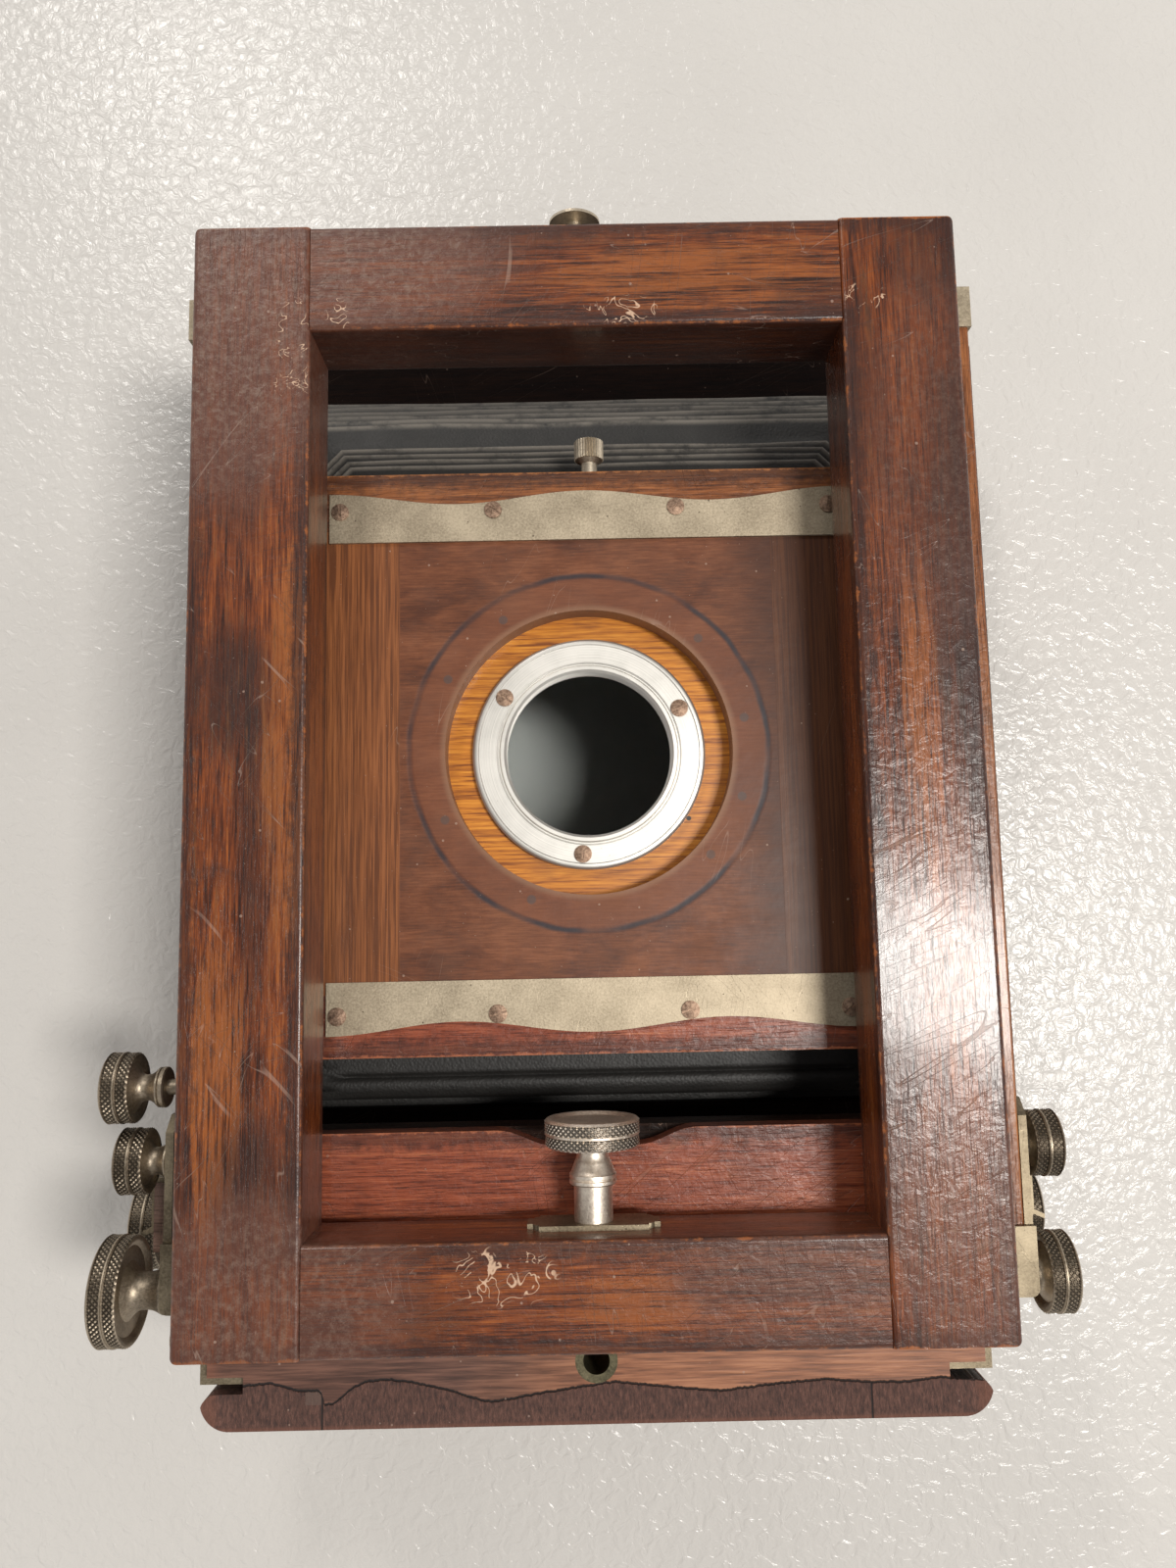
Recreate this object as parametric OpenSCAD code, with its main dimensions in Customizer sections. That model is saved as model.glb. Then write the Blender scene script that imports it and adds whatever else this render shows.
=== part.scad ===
// Folding-bed view camera, folded and lying on its back.
// X runs to the camera's right as seen from the front, Y runs up the camera, Z runs out through the lens.
// Heights are measured along Y from the top face of the base, and depths along Z from the floor.

/* [Front bed] */
// Width of the front bed and of the base
bed_w = 238; // [228:1:245]
// Height of the folded front bed
bed_h = 337.5; // [330:0.5:350]
// Thickness of the front bed
bed_t = 28; // [26:1:30]
// Width of each stile of the front bed and of each side rail of the base
stile_w = 36.5; // [32:0.5:38]
// Width of the rail at the free end of the front bed
end_rail_w = 34; // [28:1:40]
// Width of the rail at the hinge end of the front bed
hinge_rail_w = 31; // [28:1:34]
// Worn round on the long edges of the front bed
edge_round = 1.6; // [0.8:0.2:2.4]
// Worn round on the four corners of the front bed
corner_round = 2.4; // [1:0.2:4]
// Distance from the free end of the front bed to the cap of its stud
stud_gap = 7.7; // [5:0.1:9]
// Radius of the cap on the stud
stud_cap_r = 8.2; // [5:0.2:9]
// Thickness of the cap's rim
stud_cap_t = 0.9; // [0.6:0.1:1.2]
// Height of the cap's dome
stud_dome = 1.4; // [0.8:0.1:1.6]
// Radius of the stud's post
stud_post_r = 2.6; // [1.6:0.1:3]

/* [Base] */
// Thickness of the base
base_t = 29; // [27:1:32]
// Length of the base along Z
base_len = 120; // [118:1:122]
// Round on the lower long edges of the base
base_round = 9; // [5:1:10]
// Distance by which the base's upper edges are set in for the guides
tongue_set = 2; // [1.5:0.1:2.5]
// Round below the side grooves
groove_round = 5; // [2:0.5:5]
// Room that the side grooves leave under the guides
groove_spare = 2; // [1.4:0.2:3]
// Length of the cross rail that takes the hinges
cross_len = 38; // [30:1:44]
// Thickness of the board between the side rails
base_board_t = 20; // [18:1:24]
// Outer radius of the bed screw's bushing
bushing_r = 6.4; // [5.5:0.1:8]
// Bore radius of the bed screw's bushing
bushing_bore_r = 4; // [3:0.1:5]
// Length of the bed screw's bushing
bushing_len = 20; // [12:1:30]
// Outer radius of the tripod bushing
tripod_r = 11; // [9:0.5:14]
// Bore radius of the tripod bushing, for a 3/8 inch screw
tripod_bore_r = 4; // [3:0.1:5]
// Length of the tripod bushing
tripod_len = 14; // [10:1:16]

/* [Lens side] */
// Distance from the front face of the bed back to the face of the lens panel
panel_set = 36; // [35:1:40]
// Height of the lens panel's lower edge above the base
panel_low = 78.6; // [78:0.2:82]
// Height of the lens panel
panel_h = 192; // [186:1:196]
// Thickness of the lens panel
panel_t = 18; // [17:1:19]
// Play of the panel and of its tongues between the uprights
panel_play = 0.3; // [0.2:0.1:0.4]
// Height of the lower end of the panel's tongues above the base
tongue_low = 60; // [56:1:64]
// Distance by which the panel can drop
rise_down = 21; // [15:1:22]
// Width of the square lens board's opening
board_w = 176; // [170:1:180]
// Height of the lens board
board_h = 152.4; // [146:0.2:156]
// Height of the lens centre above the lens board's centre
lens_up = 1.2; // [0:0.2:4]
// Thickness of the lens board's front layer
board_front_t = 9; // [6:0.5:10]
// Radius of the round recess in the lens board
recess_r = 47; // [42:0.5:50]
// Outer radius of the lens flange
flange_r = 38.6; // [36:0.2:41]
// Threaded bore radius of the lens flange
flange_bore_r = 27.3; // [25:0.1:30]
// Thickness of the lens flange's ring
flange_t = 3.2; // [2.4:0.2:4.5]
// Bevel on the flange's outer edge
flange_bevel = 0.8; // [0.4:0.1:1.2]
// Depth of the groove turned round the flange's bore
flange_groove = 0.4; // [0.2:0.1:0.6]
// Height of the lip round the flange's bore
flange_lip = 0.3; // [0.1:0.1:0.6]
// Length of the flange's spigot inside the board
spigot_len = 4; // [2:0.5:6]
// Wall of the flange's spigot
spigot_wall = 2.2; // [1.6:0.2:3]
// Radius of the circle of flange screws
flange_screw_ring = 33.6; // [32.6:0.2:34.4]
// Turn of the first flange screw
flange_screw_turn = 25.5; // [0:0.5:60]
// Radius of a screw head
screw_r = 2.9; // [2:0.1:3.2]
// Height of a screw head
screw_t = 0.9; // [0.6:0.1:1.2]
// Width of a screw's slot
slot_w = 0.7; // [0.5:0.1:1]
// Thickness of the nickel strips
strip_t = 1.2; // [0.8:0.1:1.6]
// Length of the nickel strips
strip_len = 170; // [160:1:172]
// Depth by which a strip laps over the lens board
strip_lap = 4; // [2:0.5:6]
// Width of a strip at its middle and its ends
strip_w = 16.8; // [15:0.2:17]
// Depth of the two hollows in a strip's wavy edge
strip_wave = 4; // [2:0.5:5]
// Distance from the middle of a strip to its inner screws
strip_screw_in = 30.5; // [26:0.5:36]
// Distance from the middle of a strip to its outer screws
strip_screw_out = 81.5; // [76:0.5:82]
// Distance from a strip's straight edge to its screws
strip_screw_up = 10.6; // [9:0.2:12]

/* [Uprights] */
// Distance that the whole front standard sits to the right on the base
front_shift = 1.5; // [0:0.1:2]
// Distance between the two uprights
upright_gap = 224; // [220:1:226]
// Width of an upright
upright_w = 20.6; // [19:0.2:24]
// Depth of an upright
upright_t = 24; // [22:1:25]
// Height of an upright's top above the base
upright_top = 333; // [333:0.5:338]
// Height of the gap under the uprights and the foot
foot_gap = 3; // [2.9:0.1:3.4]
// Depth of the grooves in the uprights
groove_d = 4; // [3:0.5:5]
// Width of the grooves in the uprights
groove_w = 4.6; // [4:0.2:6]
// Height of a nickel cap on an upright
cap_h = 13.5; // [10:0.5:20]
// Thickness of the nickel caps
cap_t = 0.9; // [0.6:0.1:1.5]
// Thickness of the scalloped foot board
foot_t = 8; // [6:0.5:8]
// Height of the foot board's top above the base
foot_top = 56; // [50:0.5:58]
// Depth of the foot board's middle dip
dip_d = 5; // [2:0.5:8]
// Half width of the flat part of the dip
dip_flat = 13; // [8:1:18]
// Half width of the whole dip
dip_w = 31; // [26:1:40]
// Distance that the foot board stands in front of the uprights
foot_ahead = 2.5; // [1:0.5:2.5]
// Thickness of the sill behind the foot board
sill_t = 12.2; // [10:0.2:12.2]
// Height of the sill's lower edge above the base
sill_low = 16; // [14:0.5:22]

/* [Side fittings] */
// Thickness of the side plates
plate_t = 2.6; // [2:0.1:3]
// Height of the side plates above the base
plate_top = 62; // [58:0.5:66]
// Chamfer on the side plates' upper front corner
plate_chamfer = 5; // [3:0.5:8]
// Height of the side plates' front flange
flange_h = 24; // [20:0.5:28]
// Height to which a narrow strip runs on above the right side plate
plate_strip_top = 102; // [80:1:120]
// Depth of the narrow strip along Z
plate_strip_w = 6; // [4:0.5:9]
// Thickness of the narrow strip
plate_strip_t = 1.2; // [0.8:0.1:1.6]
// Thickness of the guides that hook under the base's edges
guide_t = 2.3; // [2:0.1:2.4]
// Depth below the base's top at which the guides turn inward
guide_drop = 14.1; // [12:0.1:16]
// Reach of the guides' lower leg into the base's side groove
guide_in = 12.4; // [8:0.1:14]
// Reach of the guides' upper leg under the uprights
guide_lap = 4; // [3:0.5:6]
// Clearance around the guides
guide_gap = 0.5; // [0.4:0.1:0.6]
// Length of the front guides along Z
front_guide_len = 28; // [20:1:28]
// Distance of the front guides from the bed's back face
front_guide_set = 3; // [3:0.5:5]
// Length of the rear guides along Z
rear_guide_len = 66; // [60:1:66]
// Distance by which the rear guides reach behind the rear frame's front face
rear_guide_back = 27; // [24:1:27]
// Radius of the small knurled knobs on the front guides
guide_knob_r = 4.7; // [3.5:0.1:5.5]
// Length of the small knurled knobs
guide_knob_len = 12.6; // [10:0.2:13]
// Length of the small knobs' neck
guide_neck_len = 4.4; // [3:0.2:5]
// Radius of the small knobs' neck
guide_neck_r = 3.1; // [2.6:0.1:3.3]
// Distance of the small knobs' axis below the base's top
guide_knob_drop = 7; // [6:0.5:7.5]

/* [Focus drive] */
// Tooth module of the racks and pinions
tooth_m = 1; // [0.9:0.05:1.05]
// Number of teeth on the front pinion
front_teeth = 10; // [10:1:10]
// Number of teeth on the rear pinion
rear_teeth = 16; // [15:1:17]
// Pressure angle of the teeth
tooth_angle = 28; // [26:1:29]
// Play between meshing teeth
tooth_play = 0.24; // [0.2:0.02:0.3]
// Width of the racks
rack_w = 6; // [5:0.5:6]
// Distance of the front racks' middle from the camera's middle
front_rack_x = 103; // [100:0.5:103.5]
// Distance of the rear racks' middle from the camera's middle
rear_rack_x = 90; // [88:0.5:92]
// Depth to which the front racks are let into the wood
rack_inlay = 3; // [2:0.5:5]
// Length of the rear racks
rear_rack_len = 78; // [70:1:80]
// Height above the base at which the bed's racks start
bed_rack_from = 4; // [3:0.5:6]
// Height above the base at which the bed's racks end
bed_rack_to = 300; // [250:1:320]
// Room round the rear racks where they run under the rear sill
tunnel_gap = 0.5; // [0.4:0.1:1]
// Height of the front pinion's axis above the base
front_axis_h = 6.5; // [6.5:0.1:6.6]
// Distance of the front pinion's axis behind the panel's face
front_axis_set = 12; // [11.8:0.1:12.5]
// Height of the rear pinion's axis above the base
rear_axis_h = 18; // [17:0.5:19]
// Distance of the rear pinion's axis from the rear frame's front face
rear_axis_set = 15; // [13:0.5:17]
// Radius of the pinion shafts
shaft_r = 3; // [2.5:0.1:3.1]
// Running clearance of the shafts and screws
running = 0.05; // [0.02:0.01:0.1]

/* [Knobs] */
// Radius of the big focus knob on the left
focus_knob_left_r = 17; // [14:0.5:18]
// Radius of the smaller focus knob on the right
focus_knob_right_r = 12.6; // [11:0.2:14]
// Radius of the rear knob on the left
rear_knob_left_r = 15.5; // [13:0.5:16]
// Radius of the rear knob on the right
rear_knob_right_r = 12.5; // [11:0.5:14]
// Radius of the two side clamp knobs
side_knob_r = 10.5; // [8:0.5:11]
// Radius of the rise clamp knob
rise_knob_r = 11.3; // [9:0.1:11.8]
// Distance from the standard's middle to the outer face of the left focus knob
focus_knob_left_x = 157.2; // [152:0.1:157.4]
// Distance from the standard's middle to the outer face of the right focus knob
focus_knob_right_x = 149.5; // [149:0.1:156]
// Distance from the standard's middle to the outer face of the left side clamp knob
side_knob_left_x = 152.8; // [149:0.1:155]
// Distance from the standard's middle to the outer face of the right side clamp knob
side_knob_right_x = 148; // [147.5:0.1:154]
// Distance from the standard's middle to the outer face of the rise clamp knob
rise_knob_x = 156.3; // [152:0.1:157.4]
// Width of a knob's knurled rim
rim_w = 9; // [7:0.5:9]
// Radius of a clamp knob's collar
collar_r = 5.6; // [5:0.1:6.4]
// Radius of a clamp knob's drawn-in neck
neck_r = 4.4; // [3.6:0.1:4.8]
// Radius of a focus knob's collar
focus_collar_r = 7.5; // [6:0.1:8]
// Radius of a focus knob's drawn-in neck
focus_neck_r = 5.9; // [4.5:0.1:6.4]
// Bevel on a knob's rim
rim_bevel = 0.7; // [0.5:0.1:1]
// Depth of the ring turned between a knob's two knurled bands
rim_ring = 0.5; // [0.3:0.1:0.8]
// Width of a knob's collar
collar_w = 2.4; // [1.5:0.1:3]
// Depth of the hollow in a knob's inner face
knob_dish = 1.2; // [0.5:0.1:2]
// Radius of the clamp screws
clamp_r = 2.4; // [2:0.1:2.4]
// Depth of the side clamps' holes in the uprights
clamp_depth = 12; // [9:0.5:14]
// Distance by which the right side clamp's screw stands out of its knob
clamp_end = 2; // [1:0.2:3]
// Height of the side clamps' axis above the base
side_clamp_h = 46.5; // [44:0.5:48]
// Height of the rise clamp's axis above the base
rise_clamp_h = 70; // [69.5:0.5:72]
// Distance between the rise clamp's collar and the upright
rise_clamp_out = 5; // [2:0.5:6]

/* [Bed screw] */
// Distance of the bed screw's axis in front of the bed's back face
bed_screw_z = 11; // [10:0.5:12]
// Radius of the bed screw's head
bed_screw_head_r = 14.2; // [12:0.1:14.3]
// Width of the bed screw's head
bed_screw_head_w = 8; // [6:0.5:9]
// Height of the underside of the bed screw's head above the base
bed_screw_head_h = 54; // [53:0.5:60]
// Height of the bed screw's collar above the base
bed_screw_collar_h = 43; // [40:0.5:45]
// Radius of the bed screw's sleeve
bed_screw_r = 5.7; // [5:0.1:6]
// Radius of the bed screw's collar
bed_screw_collar_r = 7; // [6.5:0.1:8]
// Width of the bed screw's collar
bed_screw_collar_w = 3.4; // [2.4:0.2:5]
// Height of the bed screw's tip above the base
bed_screw_tip_h = 1; // [0.6:0.2:3]
// Length of the bed screw's thinner tip
bed_screw_tip_len = 8; // [5:0.5:12]
// Flare of the bed screw's neck under its head
bed_screw_flare = 2.6; // [1.5:0.1:3.5]
// Length of the plate round the bed screw
screw_plate_len = 39; // [34:1:44]
// Width of the plate round the bed screw
screw_plate_w = 14; // [13:0.5:16]
// Thickness of the plate round the bed screw
screw_plate_t = 1.5; // [1:0.1:2]

/* [Hinges] */
// Distance of each hinge's middle from the camera's middle
hinge_x = 56; // [50:1:60]
// Length of each hinge
hinge_len = 36; // [30:1:40]
// Radius of the hinge knuckles
knuckle_r = 2.6; // [2.4:0.1:2.8]
// Radius of the hinge pins
pin_r = 1.3; // [1:0.1:1.4]
// Thickness of the hinge leaves
leaf_t = 1.4; // [1.2:0.1:1.6]
// Reach of the hinge leaves
leaf_reach = 20; // [14:1:22]

/* [Rear standard] */
// Distance that the rear frame sits to the right on the base
rear_shift = 3.5; // [2:0.1:4]
// Distance from the rear frame to the folded front bed
fold_gap = 75; // [75:1:80]
// Width of the rear frame
rear_w = 311; // [309:1:313]
// Height of the rear frame
rear_h = 318; // [312:1:318]
// Width of the rear frame's members
rear_member_w = 24; // [22:1:26]
// Depth of the rear frame
rear_t = 32; // [30:1:34]
// Height of the rear frame's lower edge above the base
rear_low = 30; // [29:0.5:32]
// Round on the rear frame's outer edges
rear_round = 4; // [2:0.5:5]
// Width of the black frame that carries the bellows in the rear frame
rear_bellows_w = 14; // [12:1:18]
// Depth of the black frame that carries the bellows in the rear frame
rear_bellows_t = 12; // [8:1:16]
// Depth of the rear sill along Z
rear_sill_t = 35; // [33:0.5:36]
// Distance of the rear cheeks' outer face from the side of the rear frame
cheek_set = 17.5; // [17:0.5:19.5]
// Distance of the rear sill's ends from the rear cheeks' outer face
sill_end_set = 4; // [4:0.5:8]
// Width of the rear cheeks
cheek_w = 12; // [10:0.5:14]
// Length of the rear cheeks along Z
cheek_len = 38; // [36:0.5:38.5]
// Width of the wooden side pads
pad_w = 8; // [6:0.5:8.5]
// Height of the wooden side pads
pad_h = 22; // [18:0.5:22]
// Height of the side pads' lower edge above the base
pad_low = 14.5; // [13:0.5:15]
// Length of the side pads along Z
pad_len = 9; // [7:0.5:9]
// Thickness of the bent clips over the side pads
clip_t = 1.5; // [1.2:0.1:1.8]
// Width of the bent clips
clip_w = 5; // [4:0.5:7]
// Reach of the clips' flared foot
clip_flare = 3.4; // [2:0.2:4]

/* [Back] */
// Outer size of the square back frame
back_w = 304.8; // [300:0.2:306]
// Thickness of the back frame
back_t = 12; // [11:0.5:13]
// Width of the picture opening
picture_w = 203.2; // [200:0.2:206]
// Height of the picture opening
picture_h = 254; // [250:0.5:256]
// Width of the glass frame
glass_frame_w = 235; // [232:1:240]
// Height of the glass frame
glass_frame_h = 290; // [286:1:296]
// Thickness of the glass frame
glass_frame_t = 12.7; // [12:0.1:13.4]
// Lap of the glass frame over the glass
glass_lap = 2.5; // [1.5:0.5:3]
// Thickness of the ground glass
glass_t = 2.4; // [2:0.1:3]
// Distance from the glass frame's front face to the ground glass
glass_set = 2.4; // [2:0.1:3]
// Clearance between the glass frame and the back frame
back_gap = 0.3; // [0.2:0.1:0.4]
// Thickness of the leaf springs
spring_t = 0.8; // [0.6:0.1:1]
// Width of the leaf springs
spring_w = 6; // [5:0.5:6.6]
// Thickness of the shelf that the leaf springs press on
shelf_t = 5.3; // [4.5:0.1:6]
// Distance between the leaf springs and their shelf
spring_gap = 0.8; // [0.5:0.1:1.2]
// Width of the shelf that the leaf springs press on
spring_shelf = 8; // [7.6:0.2:9]
// Distance of the shelf's ends from the glass frame's ends
shelf_end = 22; // [18:1:26]
// Length of the leaf springs' foot on the back frame
spring_foot = 12; // [8:1:14]
// Length of the leaf springs' bend
spring_rise = 14; // [10:1:16]
// Distance from the shelf's end to a leaf spring's bend
spring_lap = 4; // [2:0.5:6]

/* [Bellows] */
// Number of folds in the bellows
folds = 13; // [8:1:16]
// Depth of the folds
fold_d = 12; // [8:0.5:12]
// Thickness of the leather
leather_t = 1.2; // [0.8:0.1:1.6]
// Half size of the bellows over its folds at the lens panel
bellows_front = 108; // [104:1:109]
// Half size of the bellows over its folds at the rear frame
bellows_rear = 134; // [130:1:134]
// Share of the half size taken by each cut corner
bellows_corner = 0.29; // [0.2:0.01:0.34]
// Width of the black frame on the back of the lens panel
front_bellows_w = 12; // [10:0.5:14]
// Thickness of the black frame on the back of the lens panel
front_bellows_t = 6; // [4:0.5:6]
// Clearance between the bellows and its frames
bellows_gap = 0.3; // [0.2:0.1:0.5]

/* [Lens board lock] */
// Distance of the lock screw from the camera's middle
lock_x = 2; // [0:0.5:6]
// Radius of the lock screw's head
lock_r = 5; // [4:0.1:6]
// Height of the lock screw's head
lock_head_h = 6.6; // [5:0.1:8]
// Height of the lock screw's neck
lock_neck_h = 7.4; // [5:0.1:9]
// Radius of the lock screw's neck
lock_neck_r = 2.7; // [2.4:0.1:3.2]
// Radius of the lock screw's thread
lock_screw_r = 2.1; // [1.6:0.1:2.3]
// Length of the lock screw's thread
lock_len = 12; // [8:0.5:14]
// Height of the lock screw's flares
lock_flare = 1.4; // [0.8:0.1:2]
// Number of ridges on the lock screw's head
lock_ridges = 32; // [24:1:36]
// Depth of the ridges on the lock screw's head
lock_ridge_d = 0.45; // [0.3:0.05:0.6]

/* [Hidden] */
$fn = 48;
// Overshoot of cuts
cut = 1;
// Gap between pieces that nearly touch
seat = 0.3;
stud_h = stud_gap + stud_cap_t + stud_dome;
rear_high = rear_low + rear_h;
highest = max(rear_high, bed_h + stud_h);
bed_top_y = base_t - (base_t + highest) / 2;
half_bed = bed_w / 2;
stile_in = half_bed - stile_w;

back_back_z = glass_frame_t + back_gap;
rear_z = back_back_z + back_t;
rear_front_z = rear_z + rear_t;
bed_back_z = rear_front_z + fold_gap;
bed_front_z = bed_back_z + bed_t;
base_front_z = bed_back_z - seat;
base_back_z = base_front_z - base_len;
panel_z = bed_front_z - panel_set;
panel_back_z = panel_z - panel_t;
upright_in = upright_gap / 2;
upright_out = upright_in + upright_w;
upright_back_z = panel_z - upright_t;
foot_z = panel_z + foot_ahead;
groove_z = panel_z - panel_t / 2 - groove_w / 2;
plate_out = upright_out + plate_t;

panel_mid = panel_low + panel_h / 2;
panel_high = panel_low + panel_h;
board_low = panel_mid - board_h / 2;
board_high = panel_mid + board_h / 2;
lens_h = panel_mid + lens_up;
board_back_z = panel_z - board_front_t;
board_rear_z = panel_back_z + seat;
strip_z = panel_z + strip_t;

pitch = PI * tooth_m;
rack_add = 0.6 * tooth_m;
rack_ded = 1.1 * tooth_m;
gear_add = 0.8 * tooth_m;
gear_ded = 1.0 * tooth_m;
front_pitch_r = front_teeth * tooth_m / 2;
rear_pitch_r = rear_teeth * tooth_m / 2;
front_pitch_h = front_axis_h - front_pitch_r;
rear_pitch_h = rear_axis_h - rear_pitch_r;
front_axis_z = panel_z - front_axis_set;
rear_axis_z = rear_front_z + rear_axis_set;

tongue_x = half_bed - tongue_set;
guide_x = tongue_x + guide_gap;
guide_out = guide_x + guide_t;
guide_front_z = bed_back_z - front_guide_set;
rear_guide_z = rear_front_z - rear_guide_back;
side_groove_top = guide_drop - guide_gap;
side_groove_low = guide_drop + guide_t + groove_spare;
side_groove_in = half_bed - guide_in - guide_gap;
guide_knob_z = guide_front_z - front_guide_len / 2;

hinge_axis_z = bed_back_z;
bushing_h = -bed_screw_z;
bed_screw_axis_z = bed_back_z + bed_screw_z;
base_board_low = -base_t;
tripod_z = base_back_z + (base_len - cross_len) / 2;

rear_half = rear_w / 2;
rear_in = rear_half - rear_member_w;
rear_mid = rear_low + rear_h / 2;
cheek_x = rear_half - cheek_set;
rear_knob_left_x = rear_half + rear_shift;
rear_sill_z = rear_z + rear_sill_t;
cheek_front_z = rear_sill_z + cheek_len;
pad_z = cheek_front_z - pad_len;
clip_z = cheek_front_z - pad_len / 2 - clip_w / 2;
tunnel_w = rack_w + 2 * tunnel_gap;

picture_x = picture_w / 2;
picture_y = picture_h / 2;
glass_x = picture_x - glass_lap / 2;
glass_y = picture_y - glass_lap / 2;
glass_z = glass_frame_t - glass_set - glass_t;
spring_x = glass_frame_w / 2 - spring_shelf / 2;
shelf_z = glass_frame_t - shelf_t;
spring_z = shelf_z - spring_gap;

bellows_front_z = panel_back_z - front_bellows_t - bellows_gap;
bellows_rear_z = rear_front_z + bellows_gap;

// Basic shapes, placed by height above the base

module block(x0, x1, h0, h1, z0, z1)
  translate([x0, bed_top_y + h0, z0]) cube([x1 - x0, h1 - h0, z1 - z0]);

module rod_x(r, x0, x1, h, z)
  translate([x0, bed_top_y + h, z]) rotate([0, 90, 0]) cylinder(r = r, h = x1 - x0);

module rod_y(r, h0, h1, x, z)
  translate([x, bed_top_y + h0, z]) rotate([-90, 0, 0]) cylinder(r = r, h = h1 - h0);

module rod_z(r, z0, z1, x, h)
  translate([x, bed_top_y + h, z0]) cylinder(r = r, h = z1 - z0);

// A flat outline of height against Z, drawn out along X
module along_x(x0, x1)
  translate([x0, bed_top_y, 0]) rotate([90, 0, 90]) linear_extrude(x1 - x0) children();

// A flat outline of X against Z, drawn out along Y
module along_y(h0, h1)
  translate([0, bed_top_y + h1, 0]) rotate([90, 0, 0]) linear_extrude(h1 - h0) children();

// A flat outline of X against height, drawn out along Z
module along_z(z0, z1)
  translate([0, bed_top_y, z0]) linear_extrude(z1 - z0) children();

module rect(a0, a1, b0, b1) translate([a0, b0]) square([a1 - a0, b1 - b0]);

module round_rect(a0, a1, b0, b1, r) {
  rect(a0 + r, a1 - r, b0, b1);
  rect(a0, a1, b0 + r, b1 - r);
  for (a = [a0 + r, a1 - r], b = [b0 + r, b1 - r]) translate([a, b]) circle(r);
}

module left() mirror([1, 0, 0]) children();

module on_front() translate([front_shift, 0, 0]) children();

module on_rear() translate([rear_shift, 0, 0]) children();

module both() {
  children();
  left() children();
}

// Base

module base_rail() difference() {
  along_z(base_back_z, base_front_z) {
    rect(stile_in, half_bed, base_round - base_t, 0);
    rect(stile_in, half_bed - base_round, -base_t, 0);
    translate([half_bed - base_round, base_round - base_t]) circle(base_round);
  }
  block(side_groove_in, half_bed + cut, -side_groove_low, -side_groove_top,
    base_back_z - cut, base_front_z + cut);
  block(tongue_x, half_bed + cut, -side_groove_top - cut, cut, base_back_z - cut, base_front_z + cut);
  along_z(base_back_z - cut, base_front_z + cut) difference() {
    rect(half_bed - groove_round, half_bed + cut, -side_groove_low - groove_round, -side_groove_low + cut);
    translate([half_bed - groove_round, -side_groove_low - groove_round]) circle(groove_round);
  }
  block(front_rack_x - rack_w / 2, front_rack_x + rack_w / 2, -rack_inlay, cut,
    base_back_z - cut, base_front_z + cut);
}

module base_rail_right() color("saddlebrown") base_rail();
module base_rail_left() color("saddlebrown") left() base_rail();

module knuckle_hollow(extra)
  for (s = [-1, 1])
    rod_x(knuckle_r + extra, s * hinge_x - hinge_len / 2 - extra, s * hinge_x + hinge_len / 2 + extra,
      0, hinge_axis_z);

module base_cross_front() color("saddlebrown") difference() {
  block(-stile_in, stile_in, -base_t, 0, base_front_z - cross_len, base_front_z);
  rod_z(bushing_r, base_front_z - bushing_len, base_front_z + cut, 0, bushing_h);
  knuckle_hollow(seat);
  for (s = [-1, 1])
    block(s * hinge_x - hinge_len / 2, s * hinge_x + hinge_len / 2, -leaf_t, cut,
      hinge_axis_z - leaf_reach, hinge_axis_z);
}

module base_board() color("saddlebrown") difference() {
  block(-stile_in, stile_in, base_board_low, base_board_low + base_board_t,
    base_back_z, base_front_z - cross_len);
  rod_y(tripod_r, base_board_low - cut, base_board_low + tripod_len, 0, tripod_z);
}

module bed_bushing() color("goldenrod") difference() {
  rod_z(bushing_r, base_front_z - bushing_len, base_front_z, 0, bushing_h);
  rod_z(bushing_bore_r, base_front_z - bushing_len - cut, base_front_z + cut, 0, bushing_h);
}

module tripod_bushing() color("goldenrod") difference() {
  rod_y(tripod_r, base_board_low, base_board_low + tripod_len, 0, tripod_z);
  rod_y(tripod_bore_r, base_board_low - cut, base_board_low + tripod_len + cut, 0, tripod_z);
}

// Racks and pinions, with straight rack teeth and involute pinion teeth

rack_half = pitch / 4 - tooth_play / 2;
rack_slope = tan(tooth_angle);

// Outline points of rack teeth: [distance along the rack, height from the pitch line]
function rack_points(first, count) = [
  for (k = [0 : count - 1], p = [
      [-rack_half - rack_ded * rack_slope, -rack_ded], [-rack_half + rack_add * rack_slope, rack_add],
      [rack_half - rack_add * rack_slope, rack_add], [rack_half + rack_ded * rack_slope, -rack_ded]])
    [first + k * pitch + p[0], p[1]]];

// First tooth past a start that keeps step with a gap centre
function first_tooth(gap_centre, start) =
  gap_centre + pitch / 2 + ceil((start + pitch / 2 - gap_centre - pitch / 2) / pitch) * pitch;

function tooth_count(first, end) = floor((end - pitch / 2 - first) / pitch) + 1;

module rack_on_base(x, body_h, pitch_h, gap_z, z0, z1) {
  first = first_tooth(gap_z, z0);
  count = tooth_count(first, z1);
  points = rack_points(first, count);
  along_x(x - rack_w / 2, x + rack_w / 2)
    polygon(concat([[body_h, z0], [pitch_h - rack_ded, z0]],
      [for (p = points) [pitch_h + p[1], p[0]]], [[pitch_h - rack_ded, z1], [body_h, z1]]));
}

module base_racks() color("goldenrod") both()
  rack_on_base(front_rack_x, -rack_inlay, front_pitch_h, front_axis_z, base_back_z, base_front_z);

module rear_racks() color("goldenrod") both()
  rack_on_base(rear_rack_x, 0, rear_pitch_h, rear_axis_z, base_back_z, base_back_z + rear_rack_len);

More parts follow.
